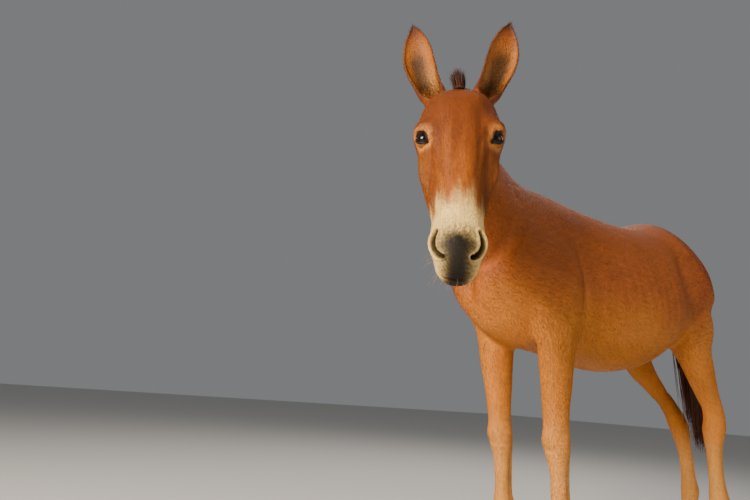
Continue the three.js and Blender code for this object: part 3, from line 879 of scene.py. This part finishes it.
def markings(points):
    x, y, z = points.T
    patchy = waves(points, 260, 11)
    fine = waves(points, 60, 12)
    # chestnut above, golden below and inside the legs, paler on the cannons
    colours = np.tile(coatTints["chestnut"], (len(points), 1))
    colours = blendTo(colours, "rump", ramp(y, 700, 1000) * ramp(z, 1000, 1250))
    colours = blendTo(colours, "golden", ramp(-z - 40 * patchy, -1110, -840) * 0.85)
    thigh = ramp(y, 820, 960) * ramp(-z - 40 * patchy, -1260, -960)
    colours = blendTo(colours, "golden", thigh * 0.85)
    inner = bell(x / 90) * ramp(-z, -1000, -850)
    colours = blendTo(colours, "golden", inner)
    colours = blendTo(colours, "cannon", ramp(-z - 30 * patchy, -620, -380) * 0.75)
    local = toHead(points)
    a, o, d = local.T
    onHead = headShare(points)
    # the face, its lighter nose bone and the streaks, which are painted shade in its creases
    colours = blendTo(colours, "face", onHead)
    streaks = waves(local * (1, 1, 0.1), 30, 13)
    flat = bell(a / 74, 4) * ramp(o, -70, -30)
    colours = blendTo(colours, "noseBone", onHead * flat * ramp(d + 50 * streaks, 230, 420))
    colours = blendTo(colours, "golden", onHead * ramp(d, 250, 330) * ramp(np.abs(a), 70, 96) * 0.18)
    for middle, width, start, end, depth in creaseShades:
        line = bell((np.abs(a) - middle + 0.13 * (d - 300) + 3 * fine) / width)
        reach = ramp(d, start, start + 70) * ramp(-d, -end, 60 - end)
        # painted shade: each crease darkened as if it lay in shadow
        colours = blendTo(colours, "creaseShade", onHead * line * reach * depth)
    # the cream muzzle with its ragged edge, then the dark of nose, lips and chin, and painted shade in the
    # groove of the mouth
    ragged = 20 * patchy + 26 * streaks + 8 * fine
    cream = ramp(d + 1.3 * ragged - 0.0055 * a * a, 425, 545) * onHead
    colours = blendTo(colours, "cream", cream * 0.96)
    speckle = ramp(waves(points, 9, 14), -0.2, 0.5)
    grey = bell(a / 56, 4) * ramp(d + 16 * fine, 535, 600) * ramp(o, -84, -56)
    colours = blendTo(colours, "nose", grey * onHead * (0.18 + 0.5 * speckle))
    wide = 62 - 20 * ramp(d, 612, 652)
    between = bell(a / wide, 4) * ramp(d - 12 * fine - 0.006 * a * a, 556, 616) * ramp(o, -112, -84)
    lips = bell(a / 40, 4) * ramp(d, 630, 655) * (o < -60)
    chin = bell(a / 38, 4) * ramp(d, 600, 640) * ramp(-o, 112, 124)
    under = ramp(-o, 134, 150) * ramp(d, 590, 640) * 0.85
    # painted shade along the groove where the lips meet
    mouthGrooveShade = bell(mouthPlane(local) / 5) * ramp(d, 598, 612)
    dark = np.maximum(np.maximum(np.maximum(between, lips), np.maximum(chin, under)), mouthGrooveShade)
    colours = blendTo(colours, "nose", dark * onHead)
    for side in sides.values():
        ex, eu, ew = eyeLocal(local, side).T
        outside = outsideOpening(ex, eu)
        near = (ew > -10) * onHead
        colours = blendTo(colours, "ring", near * bell((outside - 12) / 10) * 0.8)
        colours = blendTo(colours, "lid", near * ramp(-outside, -5.5, -2.5))
        # the nostril's dark skin, with painted shade in its hollow
        nostrilSkinAndShade = ramp(-nostrilField(local, side), -1.12, -0.8)
        colours = blendTo(colours, "nose", nostrilSkinAndShade * onHead * 0.93)
    bodyHairs = waves(points * (1, 0.3, 1), 16, 15, 2)
    headHairs = waves(local * (1, 1, 0.16), 9, 16, 2)
    hairs = bodyHairs * (1 - onHead) + headHairs * onHead
    return colours * (1 + 0.08 * patchy + 0.05 * fine + 0.10 * hairs)[:, None]


# Materials

def newMaterial(name, roughness, specular):
    material = bpy.data.materials.new(name)
    material.use_nodes = True
    shader = material.node_tree.nodes["Principled BSDF"]
    shader.inputs["Roughness"].default_value = roughness
    shader.inputs["Specular IOR Level"].default_value = specular
    return material, material.node_tree, shader


def noiseNode(tree, scale, detail=4):
    coords = tree.nodes.new("ShaderNodeTexCoord")
    noise = tree.nodes.new("ShaderNodeTexNoise")
    noise.inputs["Scale"].default_value = scale
    noise.inputs["Detail"].default_value = detail
    tree.links.new(coords.outputs["Object"], noise.inputs["Vector"])
    return noise


def mixedColour(tree, shader, colourSocket, noise, low, high):
    # lightens and darkens a colour with a noise
    spread = tree.nodes.new("ShaderNodeMapRange")
    spread.inputs["From Min"].default_value = 0.3
    spread.inputs["From Max"].default_value = 0.7
    spread.inputs["To Min"].default_value = low
    spread.inputs["To Max"].default_value = high
    mix = tree.nodes.new("ShaderNodeVectorMath")
    mix.operation = "SCALE"
    tree.links.new(noise.outputs["Fac"], spread.inputs["Value"])
    tree.links.new(colourSocket, mix.inputs[0])
    tree.links.new(spread.outputs["Result"], mix.inputs["Scale"])
    tree.links.new(mix.outputs["Vector"], shader.inputs["Base Color"])


def bumpFrom(tree, shader, noise, strength, distance):
    bump = tree.nodes.new("ShaderNodeBump")
    bump.inputs["Strength"].default_value = strength
    bump.inputs["Distance"].default_value = distance
    tree.links.new(noise.outputs["Fac"], bump.inputs["Height"])
    tree.links.new(bump.outputs["Normal"], shader.inputs["Normal"])


def paintedMaterial(name, roughness, grain, low, high, bump, specular):
    # grain is the noise's scale, which shades the markings from low to high
    material, tree, shader = newMaterial(name, roughness, specular)
    colour = tree.nodes.new("ShaderNodeAttribute")
    colour.attribute_name = "markings"
    noise = noiseNode(tree, grain)
    mixedColour(tree, shader, colour.outputs["Color"], noise, low, high)
    bumpFrom(tree, shader, noise, bump, mm)
    return material


skinMaterial = paintedMaterial("skinFur", 0.6, 420, 0.82, 1.12, 0.5, 0.25)
coatMaterial = paintedMaterial("coatHair", 0.5, 300, 0.9, 1.12, 0.1, 0.3)
longHairMaterial = paintedMaterial("longHair", 0.45, 200, 0.75, 1.2, 0.15, 0.35)
hornMaterial = paintedMaterial("hoofHorn", 0.5, 60, 0.8, 1.15, 0.25, 0.5)
eyeMaterial = paintedMaterial("wetEye", 0.14, 300, 0.9, 1.1, 0.0, 0.28)


# Skin object, with both ears in the same mesh

def buildSkinObject():
    bodyPoints = pointsOf(skinMesh)
    skinMesh.calc_loop_triangles()
    tris = np.empty(len(skinMesh.loop_triangles) * 3, np.int32)
    skinMesh.loop_triangles.foreach_get("vertices", tris)
    shapes = [(bodyPoints, tris.reshape(-1, 3))]
    colours = [markings(bodyPoints)]
    for side in sides.values():
        shapes.append(earShape(side))
        colours.append(earColours(side))
    points, faces = joined(shapes)
    skin = newObject("skin", toMetres(points), faces)
    paint(skin.data, np.vstack(colours))
    finished(skin, skinMaterial, "coat", *fleshNodes)
    return points, faces, [len(shape[1]) for shape in shapes]


fleshKinds = ("torso", "neck", "head", "ear", "foreleg", "hindleg")
fleshNodes = [name for name in frame["nodes"] if name.split("_")[0] in fleshKinds]


def earColours(side):
    rows = np.repeat(np.linspace(0, 1, earRings), earArc * 2)
    along = track(np.array(earRows)[:, :1], rows)[:, 0]
    k = np.tile(np.arange(earArc * 2), earRings)
    inside = k >= earArc
    edge = np.minimum(np.abs(k - earArc + 0.5), np.minimum(k, 2 * earArc - k)) / earArc
    # from 0 at the edge nearer the forelock to 1 at the outer edge
    sweep = (2 * earArc - k) / earArc if side > 0 else (k - earArc) / earArc
    colours = np.tile(coatTints["earBack"], (len(k), 1))
    colours = blendTo(colours, "golden", inside * 0.4 * ramp(-along, -0.95, -0.7))
    # painted shade deep in the middle of the ear's cup
    middle = bell((sweep - 0.55) / 0.19, 4) * ramp(along, 0.05, 0.3) * ramp(-along, -0.86, -0.6)
    colours = blendTo(colours, "earCupShade", inside * middle)
    fold = bell((sweep - 0.3) / 0.15) * ramp(-along, -0.62, -0.3)
    colours = blendTo(colours, "earLow", inside * fold)
    colours = blendTo(colours, "earEdge", ramp(-edge, -0.05, 0) * 0.55 + ramp(along, 0.88, 0.98) * 0.75)
    colours = blendTo(colours, "face", ramp(-along, -0.1, 0.02))
    return np.vstack([colours, colours[:1], colours[-1:]])


skinPoints, skinFaces, faceCounts = buildSkinObject()
print("skin object:", len(skinFaces), "triangles")


# Eyes

eyeLook = {
    "pupil": (7.5, 3.6), "iris": 14.5,
    "bulge": 0.035,      # of the cornea, as a share of the ball's radius
    "ball": tint(14, 10, 8), "pupilTint": tint(8, 7, 9),
    "irisDark": tint(28, 17, 10), "irisLight": tint(48, 29, 16), "irisStreaks": 46,
}
lidLook = {
    "width": 2.6, "upperWidth": 1.0,             # upper values are added on the upper lid
    "thickness": 1.7, "upperThickness": 0.5,
    "stretch": 1.03, "lift": 1.2, "tint": tint(28, 19, 14),
}


def buildEye(sideName, side):
    centre, x, up, gaze = eyeAxes(side)
    radius = head["eyeRadius"]

    def pointAt(t, share):
        polar = math.pi * (0.004 + 0.992 * t)
        angle = 2 * math.pi * share
        out = radius * (1 + eyeLook["bulge"] * bell(polar / 0.5))
        local = np.stack([np.sin(polar) * np.cos(angle), np.sin(polar) * np.sin(angle), np.cos(polar)], 1)
        return fromHead(centre + (local * out[:, None]) @ np.stack([x, up, gaze]))
    points, faces = loft(60, 64, pointAt)
    eye = newObject("eye_ball_" + sideName, toMetres(points), faces)
    ex, eu, _ = eyeLocal(toHead(points), side).T
    pupil = np.hypot(ex / eyeLook["pupil"][0], eu / eyeLook["pupil"][1])
    iris = np.hypot(ex, eu) / eyeLook["iris"]
    streaks = 0.5 + 0.5 * np.sin(np.arctan2(eu, ex) * eyeLook["irisStreaks"] + 3 * np.sin(iris * 9))
    colours = np.tile(eyeLook["ball"], (len(points), 1))
    brown = eyeLook["irisDark"] * 0.7 + eyeLook["irisLight"] * 0.3 * streaks[:, None]
    colours = np.where((iris < 1)[:, None], brown * (1.1 - 0.6 * iris[:, None] ** 3), colours)
    colours = np.where((pupil < 1)[:, None], eyeLook["pupilTint"], colours)
    paint(eye.data, colours)
    finished(eye, eyeMaterial, "eye", "eye_" + sideName)


def buildLids(sideName, side):
    # a rolled rim round the opening, resting on the ball
    centre, x, up, gaze = eyeAxes(side)
    half, radius = head["eyeHalf"], head["eyeRadius"]

    def pointAt(t, share):
        round01 = t * 2 * math.pi * 0.998
        ex = half * lidLook["stretch"] * np.cos(round01)
        top, low = lidLine(np.clip(ex, -half, half))
        eu = np.where(np.sin(round01) > 0, top, low)
        ew = np.sqrt(np.maximum((radius + lidLook["lift"]) ** 2 - ex**2 - eu**2, 1))
        middle = np.stack([ex, eu, ew], 1)
        away = unit(middle)
        level = unit(np.stack([ex / half**2, eu / 100, 0 * ex], 1))
        angle = 2 * math.pi * share
        upper = (np.sin(round01) > 0) * 1.0
        wide = lidLook["width"] + lidLook["upperWidth"] * upper
        thick = lidLook["thickness"] + lidLook["upperThickness"] * upper
        rim = middle + level * (wide * 0.9 + wide * np.cos(angle))[:, None]
        rim = rim + away * (thick * np.sin(angle))[:, None]
        return fromHead(centre + rim @ np.stack([x, up, gaze]))
    points, faces = loft(120, 16, pointAt)
    lids = newObject("lids_" + sideName, toMetres(points), faces)
    shade = 0.85 + 0.15 * waves(points, 14, 40)
    paint(lids.data, lidLook["tint"] * shade[:, None])
    finished(lids, skinMaterial, "coat", "head")


for sideName, side in sides.items():
    buildEye(sideName, side)
    buildLids(sideName, side)
print("eyes and lids built")


# Hooves

hoof = {
    # height, forward slip from the coronet, half width, reach to the front and to the back
    "rows": [(0, 26, 57, 61, 59), (3, 25.6, 58, 62, 60), (14, 24, 57.3, 61, 59), (60, 8, 51, 51, 50),
             (82, 1, 48.5, 47.5, 47), (100, -4, 46, 44, 44), (120, -10, 38, 36, 36)],
    "ringHeight": 0.0055, "ringCount": 9, "ringTop": 86,     # the height is a share of the width
    "coronetSlope": 0.42, "tint": tint(72, 61, 50),
}


def buildHoof(kind, sideName):
    side = sides[sideName]
    legs = legRows(kind, sideName)
    x0, y0 = legs[-2, 1], legs[-2, 2]

    def pointAt(t, share):
        z, slip, half, front, back = track(hoof["rows"], t).T
        across, along = egg(share, half, back, front, 2.2, 2.2)
        angle = 2 * math.pi * share
        heel = bell((share - 0.25) / 0.05)
        rings = np.sin(z / 100 * hoof["ringCount"] * 2 * math.pi + 0.5 * np.sin(3 * angle))
        grow = 1 + hoof["ringHeight"] * rings * (z < hoof["ringTop"])
        slope = hoof["coronetSlope"] * along
        height = np.where(z > 14, z - slope * ramp(z, 14, 82) * 0.9, z)
        y = y0 - slip + along * grow * (1 - 0.08 * heel)
        return np.stack([side * (x0 + across * grow), y, np.maximum(height, 0)], 1)
    points, faces = loft(64, 72, pointAt)
    horn = newObject("horn_" + kind + "_" + sideName, toMetres(points), faces)
    z = points[:, 2]
    streak = waves(points * (1, 1, 0.08), 16, 50)
    shade = hoof["tint"] * (1 + 0.22 * streak + 0.12 * waves(points, 40, 51))[:, None]
    shade = shade * (1 - 0.35 * ramp(-z, -22, 0) + 0.25 * ramp(z, 70, 90))[:, None]
    paint(horn.data, np.clip(shade, 0, 1))
    finished(horn, hornMaterial, "hoof", "hoof_" + kind + "_" + sideName)


for kind, sideName in footShift:
    buildHoof(kind, sideName)
print("hooves built")


# Coat: short tufts that lie along the body

coat = {
    # per square metre, length, width, thickness, lift in degrees
    "body": (52000, 14, 2.0, 0.55, 6.5),
    "face": (155000, 8, 1.3, 0.5, 9.0),
    "leg": (90000, 10, 1.6, 0.5, 7.0),
    "ear": (120000, 14, 1.1, 0.12, 3.0),
    "pieceLimit": 48000,     # tufts
    "patch": 0.003,          # side of a tuft's patch on the map
    "quickShare": 0.25,
}


def lieDirection(points):
    x, y, z = points.T
    back = np.stack([0 * x, 1 + 0 * y, -0.25 - 0.9 * ramp(y, 850, 1100)], 1)
    down = np.array([0, 0.12, -1.0])
    legs = np.maximum(ramp(-z, -960, -800), ramp(-z, -1080, -820) * ramp(-np.abs(y - 60), -260, -120))
    lie = back * (1 - legs)[:, None] + down * legs[:, None]
    neckBack = unit((-0.55, 0.75, -0.45))
    neck = ramp(-y, 120, 330) * ramp(z, 980, 1150)
    lie = lie * (1 - neck)[:, None] + neckBack * neck[:, None]
    share = headShare(points)[:, None]
    a = toHead(points)[:, 0:1]
    faceLie = headDown + headAcross * np.clip(a / 220, -0.5, 0.5)
    return lie * (1 - share) + faceLie * share


def unwrapped(points):
    # each region rolls out into its own strip of the map
    x, y, z = points.T
    local = toHead(points)
    turn = np.arctan2(x, z - 1150) / (2 * math.pi) + 0.5
    u, v = 0.02 + 0.3 * turn, 0.02 + 0.96 * np.clip((y + 380) / 1560, 0, 1)
    isHead = headShare(points) > 0.5
    roll = np.arctan2(local[:, 0], local[:, 1] + 110) / (2 * math.pi) + 0.5
    u = np.where(isHead, 0.36 + 0.28 * roll, u)
    v = np.where(isHead, 0.02 + 0.96 * np.clip(local[:, 2] / 700, 0, 1), v)
    for index, (kind, sideName) in enumerate(footShift):
        rows = legRows(kind, sideName)
        side = sides[sideName]
        heights = rows[::-1, 0]
        cx, cy = side * np.interp(z, heights, rows[::-1, 1]), np.interp(z, heights, rows[::-1, 2])
        near = (z < 800) & (x * side > 0) & ((y < 450) if kind == "fore" else (y >= 450)) & ~isHead
        roll = np.arctan2(x - cx, y - cy) / (2 * math.pi) + 0.5
        u = np.where(near, 0.67 + 0.08 * index + 0.07 * roll, u)
        v = np.where(near, 0.02 + 0.6 * np.clip(z / 800, 0, 1), v)
    return np.stack([u, v], 1)


def tuftPiece(name, roots, normals, lie, sizes, colours, uv, rng):
    # each tuft is a thin, low pyramid: two corners at the root, a ridge and a tip
    length, width, thick, lift = sizes
    count = len(roots)
    lie = unit(lie - normals * np.einsum("ij,ij->i", lie, normals)[:, None])
    cross = np.cross(normals, lie)
    swing = rng.normal(0, 0.16, count)[:, None]
    lie = unit(lie + cross * swing)
    cross = np.cross(normals, lie)
    length = (length * rng.uniform(0.7, 1.25, count))[:, None]
    width = (width * rng.uniform(0.75, 1.25, count))[:, None]
    angle = np.radians(lift * rng.uniform(0.5, 1.5, count))[:, None]
    tipAt = roots + lie * length * np.cos(angle) + normals * length * np.sin(angle) * 0.8
    root = roots - normals * 0.3
    ridge = roots + lie * length * 0.35 + normals * thick[:, None]
    sink = root - lie * length * 0.05
    points = np.stack([sink + cross * width / 2, sink - cross * width / 2, ridge, tipAt], 1).reshape(-1, 3)
    base = (np.arange(count) * 4)[:, None, None]
    faces = (base + np.array([(3, 2, 0), (3, 1, 2), (3, 0, 1), (2, 1, 0)])).reshape(-1, 3)
    piece = newObject(name, toMetres(points), faces)
    shade = rng.normal(1, 0.16, count)[:, None, None] * np.array([0.82, 0.82, 1.0, 1.14])[None, :, None]
    paint(piece.data, np.clip((colours[:, None, :] * shade).reshape(-1, 3), 0, 1))
    corner = np.array([(-0.5, -0.5), (0.5, -0.5), (0, 0), (0, 0.5)]) * coat["patch"]
    uvs = (uv[:, None, :] + corner[None, :, :]).reshape(-1, 2)
    mapOnto(piece.data, uvs, faces)
    finished(piece, coatMaterial, "coat")


def sampled(points, faces, normals, density, rng):
    # roots spread over the faces, their normals, and the point of the mesh that each belongs to
    area = np.linalg.norm(faceNormals(points, faces), axis=1) / 2 * mm * mm
    weight = np.cumsum(area * density)
    count = int(weight[-1])
    spot = (np.arange(count) + rng.random(count)) / count * weight[-1]
    face = faces[np.minimum(np.searchsorted(weight, spot), len(faces) - 1)]
    r, s = np.sqrt(rng.random(count)), rng.random(count)
    bary = np.stack([1 - r, r * (1 - s), r * s], 1)[:, :, None]
    roots = (points[face] * bary).sum(1)
    return roots, unit((normals[face] * bary).sum(1)), face[:, 0]


def growCoat():
    rng = np.random.default_rng(21)
    bodyFaces = skinFaces[:faceCounts[0]]
    normals = vertexNormals(skinPoints, skinFaces)
    centre = skinPoints[bodyFaces].mean(1)
    face = headShare(centre)
    leg = ramp(-centre[:, 2], -900, -620) * (1 - face)
    local = toHead(centre)
    bare = np.zeros(len(centre))
    for side in sides.values():
        x, u, w = eyeLocal(local, side).T
        bare = np.maximum(bare, (outsideOpening(x, u) < 4) & (w > -10))
        bare = np.maximum(bare, nostrilField(local, side) < 1.15)
    bare = np.maximum(bare, centre[:, 2] < 62) * 1.0
    muzzle = ramp(local[:, 2], 585, 640) * face
    kinds = [coat["body"], coat["face"], coat["leg"]]
    shares = np.stack([(1 - face) * (1 - leg), face, leg], 1)
    density = shares @ np.array([kind[0] for kind in kinds]) * (1 - bare) * (1 - 0.35 * muzzle)
    roots, rootNormals, _ = sampled(skinPoints, bodyFaces, normals, density, rng)
    face = headShare(roots)
    leg = ramp(-roots[:, 2], -900, -620) * (1 - face)
    shares = np.stack([(1 - face) * (1 - leg), face, leg], 1)
    shrink = 1 - 0.45 * ramp(toHead(roots)[:, 2], 560, 640) * face
    sizes = [shares @ np.array([kind[i] for kind in kinds]) for i in range(1, 5)]
    sizes[0], sizes[1] = sizes[0] * shrink, sizes[1] * shrink
    lie, colours, uv = lieDirection(roots), markings(roots), unwrapped(roots)
    group = np.where(face > 0.5, 0, np.where(roots[:, 2] < 800, 2, 1))
    for index, name in enumerate(("face", "body", "leg")):
        members = np.flatnonzero(group == index)
        members = members[np.argsort(roots[members, 1], kind="stable")]
        parts = max(1, math.ceil(len(members) / coat["pieceLimit"]))
        for number, chosen in enumerate(np.array_split(members, parts)):
            tuftPiece(f"coat_{name}_{number + 1}", roots[chosen], rootNormals[chosen], lie[chosen],
                      [size[chosen] for size in sizes], colours[chosen], uv[chosen], rng)
    growEarCoat(rng, normals)


def growEarCoat(rng, normals):
    start = faceCounts[0]
    pointStart = len(skinPoints) - 2 * (earPoints + 2)
    # step round the ear and share of its length, for every point and the two that close it
    k = np.tile(np.arange(earArc * 2), earRings)
    along = np.repeat(np.linspace(0, 1, earRings), earArc * 2)
    table = np.concatenate([np.stack([k, along], 1), [[0, 0], [0, 1]]])
    for number, (sideName, side) in enumerate(sides.items()):
        faces = skinFaces[start:start + faceCounts[number + 1]]
        start += faceCounts[number + 1]
        first = pointStart + number * (earPoints + 2)
        density = np.full(len(faces), coat["ear"][0] * (1.0))
        roots, rootNormals, nearest = sampled(skinPoints, faces, normals, density, rng)
        spot = table[nearest - first]
        inside = spot[:, 0] >= earArc
        colours = earColours(side)[nearest - first]
        foot = onSide(ears["base"], side)
        tip = foot + (side * 95, -60, -290)
        lie = np.tile(unit(fromHead(tip) - fromHead(foot)), (len(roots), 1))
        _, length, width, thick, lift = coat["ear"]
        low = inside * ramp(-spot[:, 1], -0.6, -0.25)
        even = np.ones(len(roots))
        sizes = [length * (1 + 1.3 * low), width * even, thick * even, lift * (1 + 1.2 * low)]
        uv = np.stack([0.67 + 0.16 * number + 0.15 * spot[:, 0] / (earArc * 2), 0.66 + 0.3 * spot[:, 1]], 1)
        tuftPiece("coat_ear_" + sideName, roots, rootNormals, lie, sizes, colours, uv, rng)


growCoat()
print("coat grown")


# Forelock and tail: tapered locks

def lockShape(path, width, thickness, broad, rings):
    def pointAt(t, share):
        centre = track(path, t)
        tangent = tangentOf(path, t)
        face = unit(np.cross(tangent, broad))
        wide = np.cross(face, tangent)
        taper = np.minimum(1, 0.6 + 1.6 * t) * np.maximum(0.06, 1 - t**2.2)
        angle = 2 * math.pi * share
        sideways = 0.5 * width * taper * np.cos(angle)
        outwards = 0.5 * thickness * np.maximum(0.3, taper) * np.sin(angle)
        return centre + wide * sideways[:, None] + face * outwards[:, None]
    return loft(rings, 4, pointAt)


def hairPiece(name, shapes, tints, uvs, slot, *nodes):
    points, faces = joined(shapes)
    piece = newObject(name, toMetres(points), faces)
    colours = np.vstack([np.tile(colour, (len(shape[0]), 1)) for shape, colour in zip(shapes, tints)])
    paint(piece.data, np.clip(colours, 0, 1))
    patches = []
    for shape, uv in zip(shapes, uvs):
        along = np.linspace(0, coat["patch"], len(shape[0]))[:, None]
        patches.append(uv + along * (1, 0.4))
    corner = np.concatenate(patches)
    mapOnto(piece.data, corner, faces)
    finished(piece, longHairMaterial, slot, *nodes)


forelock = {
    "locks": 420, "length": 80, "width": 3.0, "thickness": 1.1,
    "half": 17, "depth": 40, "root": (-54, 52),     # the patch it grows from; out of the face, down the face
    "sunk": 18, "lean": (-9, 8), "tint": tint(60, 25, 6),
}


def buildForelock():
    rng = np.random.default_rng(31)
    shapes, tints, uvs = [], [], []
    for _ in range(forelock["locks"]):
        angle, reach = rng.uniform(0, 2 * math.pi), math.sqrt(rng.random())
        middleOut, level = forelock["root"]
        a = forelock["half"] * reach * math.cos(angle)
        o = middleOut + forelock["depth"] * 0.5 * reach * math.sin(angle)
        foot = np.array([a, o, level])
        long = forelock["length"] * rng.uniform(0.55, 1.05) * (1 - 0.35 * reach)
        leanAcross = a * 0.5 + forelock["lean"][0] + rng.normal(0, 4)
        leanOut = forelock["lean"][1] + (o - middleOut) * 0.2 + rng.normal(0, 4)
        middle = foot + (leanAcross * 0.35, leanOut * 0.3, -forelock["sunk"] - long * 0.45)
        tip = foot + (leanAcross, leanOut, -forelock["sunk"] - long)
        broad = unit(rng.normal(size=3))
        width = forelock["width"] * rng.uniform(0.6, 1.2)
        points, faces = lockShape(np.array([foot, middle, tip]), width, forelock["thickness"], broad, 8)
        shapes.append((fromHead(points), faces))
        tints.append(forelock["tint"] * rng.uniform(0.6, 1.3))
        uvs.append((0.05 + 0.3 * rng.random(), 0.985))
    hairPiece("forelock_hair", shapes, tints, uvs, "hair", "forelock")


tail = {
    "locks": 900, "width": 8, "thickness": 2.4,
    "tip": 430,      # height of the lowest tips
    "spread": 50, "dockRoot": 34, "dockTaper": 22,
    "tint": tint(84, 40, 14), "dockTint": tint(104, 56, 26),
}
dockPath = np.array([
    (0, 1070, 1392), (0, 1122, 1366), (0, 1164, 1290),
    (0, 1176, 1190), (0, 1174, 1095), (0, 1170, 1005),
], float)
# how a lock falls: share of its drop, share of its spread
lockFall = ((0.1, 0.55), (0.35, 1.0), (0.65, 0.95), (0.85, 0.7), (1, 0.5))


def buildTail():
    rng = np.random.default_rng(32)
    shapes, tints, uvs = [], [], []

    def dockPoint(t, share):
        centre = track(dockPath, t)
        face = unit(np.cross(tangentOf(dockPath, t), (1, 0, 0)))
        radius = (tail["dockRoot"] - tail["dockTaper"] * t)[:, None]
        angle = (2 * math.pi * share)[:, None]
        return centre + np.array([1, 0, 0]) * radius * np.cos(angle) + face * radius * np.sin(angle)
    shapes.append(loft(40, 24, dockPoint))
    tints.append(tail["dockTint"])
    uvs.append((0.4, 0.985))
    for number in range(tail["locks"]):
        share = (number + rng.random()) / tail["locks"]
        t = 0.03 + 0.95 * share**0.85
        centre = track(dockPath, np.array([t]))[0]
        angle = rng.uniform(0, 2 * math.pi)
        away = np.array([math.sin(angle), 0.85 * math.cos(angle), 0])
        radius = tail["dockRoot"] - tail["dockTaper"] * t
        foot = centre + away * radius * 0.8
        tipHeight = tail["tip"] + (1 - share) * rng.uniform(60, 560) + rng.uniform(0, 60)
        fall = foot[2] - tipHeight
        fullness = 0.55 + 0.45 * math.sin(math.pi * min(1, share + 0.2))
        spread = tail["spread"] * fullness * rng.uniform(0.35, 1)
        path, top = [foot], np.array([centre[0], centre[1], foot[2]])
        for drop, outwards in lockFall:
            sway = rng.normal(0, 5 * drop, 3)
            hang = (sway[0], -14 * drop + sway[1], -fall * drop)
            path.append(top + away * (radius * 0.6 + spread * outwards) + hang)
        broad = np.array([away[1], -away[0], 0]) + rng.normal(0, 0.3, 3)
        width = tail["width"] * rng.uniform(0.6, 1.3)
        shapes.append(lockShape(np.array(path), width, tail["thickness"], broad, 13))
        tints.append(tail["tint"] * rng.uniform(0.45, 1.2) * (1 - 0.25 * share))
        uvs.append((0.4 + 0.5 * rng.random(), 0.985))
    hairPiece("tail_hair", shapes, tints, uvs, "hair", "tail")


buildForelock()
buildTail()
print("forelock and tail built")


# Whiskers and lashes

whiskers = {"count": 70, "length": (14, 40), "droop": 0.25, "width": 0.7, "tint": tint(150, 120, 84)}
lashes = {"count": 60, "length": (8, 15), "droop": 0.3, "width": 0.7, "tint": tint(30, 20, 14), "reach": 17}


def spikes(name, look, roots, directions, lengths, seed):
    rng = np.random.default_rng(seed)
    shapes = []
    for root, direction, length in zip(roots, directions, lengths):
        tip = root + direction * length - np.array([0, 0, look["droop"]]) * length
        path = np.array([root, root + direction * length * 0.5, tip])
        width = look["width"] * rng.uniform(0.8, 1.2)
        shapes.append(lockShape(path, width, look["width"], unit(rng.normal(size=3)), 5))
    hairPiece(name, shapes, [look["tint"]] * len(shapes), [(0.9, 0.985)] * len(shapes), "coat")


def buildWhiskers():
    rng = np.random.default_rng(33)
    local = toHead(skinPoints[:len(skinMesh.vertices)])
    normals = vertexNormals(skinPoints, skinFaces)[:len(local)]
    onMuzzle = (local[:, 2] > 600) & (local[:, 1] < -70) & (headShare(skinPoints[:len(local)]) > 0.5)
    chosen = rng.choice(np.flatnonzero(onMuzzle), whiskers["count"], replace=False)
    directions = unit(normals[chosen] + headDown * 0.35 + rng.normal(0, 0.2, (len(chosen), 3)))
    lengths = rng.uniform(*whiskers["length"], len(chosen))
    spikes("whiskers", whiskers, skinPoints[chosen], directions, lengths, 34)


def buildLashes():
    for sideName, side in sides.items():
        centre, x, up, gaze = eyeAxes(side)
        rng = np.random.default_rng(35)
        basis = np.stack([x, up, gaze])
        count = lashes["count"]
        ex = rng.uniform(-lashes["reach"], lashes["reach"], count)
        top, _ = lidLine(ex)
        eu = top + 2.5
        ew = np.sqrt(np.maximum((head["eyeRadius"] + 3) ** 2 - ex**2 - eu**2, 1))
        roots = fromHead(centre + np.stack([ex, eu, ew], 1) @ basis)
        aim = np.stack([ex * 0.02 + rng.normal(0, 0.12, count), np.full(count, 0.05), np.ones(count)], 1)
        directions = unit(aim) @ basis @ headBasis
        lengths = rng.uniform(*lashes["length"], count)
        spikes("lashes_" + sideName, lashes, roots, directions, lengths, 36)


buildWhiskers()
buildLashes()
print("whiskers and lashes built")


# Floor, light and background

stage = {
    "floor": tint(206, 204, 200), "floorHalf": 30,
    "sky": tint(206, 208, 210), "skyStrength": 0.32,
    "aim": (0, 0, 1.0),
}
# place, side of the square, watts, colour; in metres
lights = {
    "key": ((1.2, -5.2, 2.4), 1.8, 520, (1.0, 0.88, 0.74)),
    "fill": ((4.5, 1.5, 2.4), 3.0, 70, (1.0, 0.95, 0.9)),
    "top": ((-1.5, 1.5, 4.5), 3.5, 120, (1.0, 0.96, 0.92)),
}


def buildStage():
    points = np.array([(-1, -1, 0), (1, -1, 0), (1, 1, 0), (-1, 1, 0)], float) * stage["floorHalf"]
    floor = newObject("floor", points, np.array([[0, 1, 2, 3]]), smooth=False)
    material, _, shader = newMaterial("paleFloor", 0.85, 0.2)
    shader.inputs["Base Color"].default_value = (*stage["floor"], 1)
    floor.data.materials.append(material)
    world = bpy.data.worlds.new("studio")
    world.use_nodes = True
    background = world.node_tree.nodes["Background"]
    background.inputs["Color"].default_value = (*stage["sky"], 1)
    background.inputs["Strength"].default_value = stage["skyStrength"]
    bpy.context.scene.world = world


def areaLight(name, spot, size, watts, colour):
    data = bpy.data.lights.new(name, "AREA")
    data.size = size
    data.energy = watts
    data.color = colour
    light = bpy.data.objects.new(name, data)
    bpy.context.scene.collection.objects.link(light)
    light.location = spot
    light.rotation_euler = (Vector(stage["aim"]) - Vector(spot)).to_track_quat("-Z", "Y").to_euler()


buildStage()
for name, (spot, size, watts, colour) in lights.items():
    areaLight(name, spot, size, watts, colour)
print("floor and lights placed")
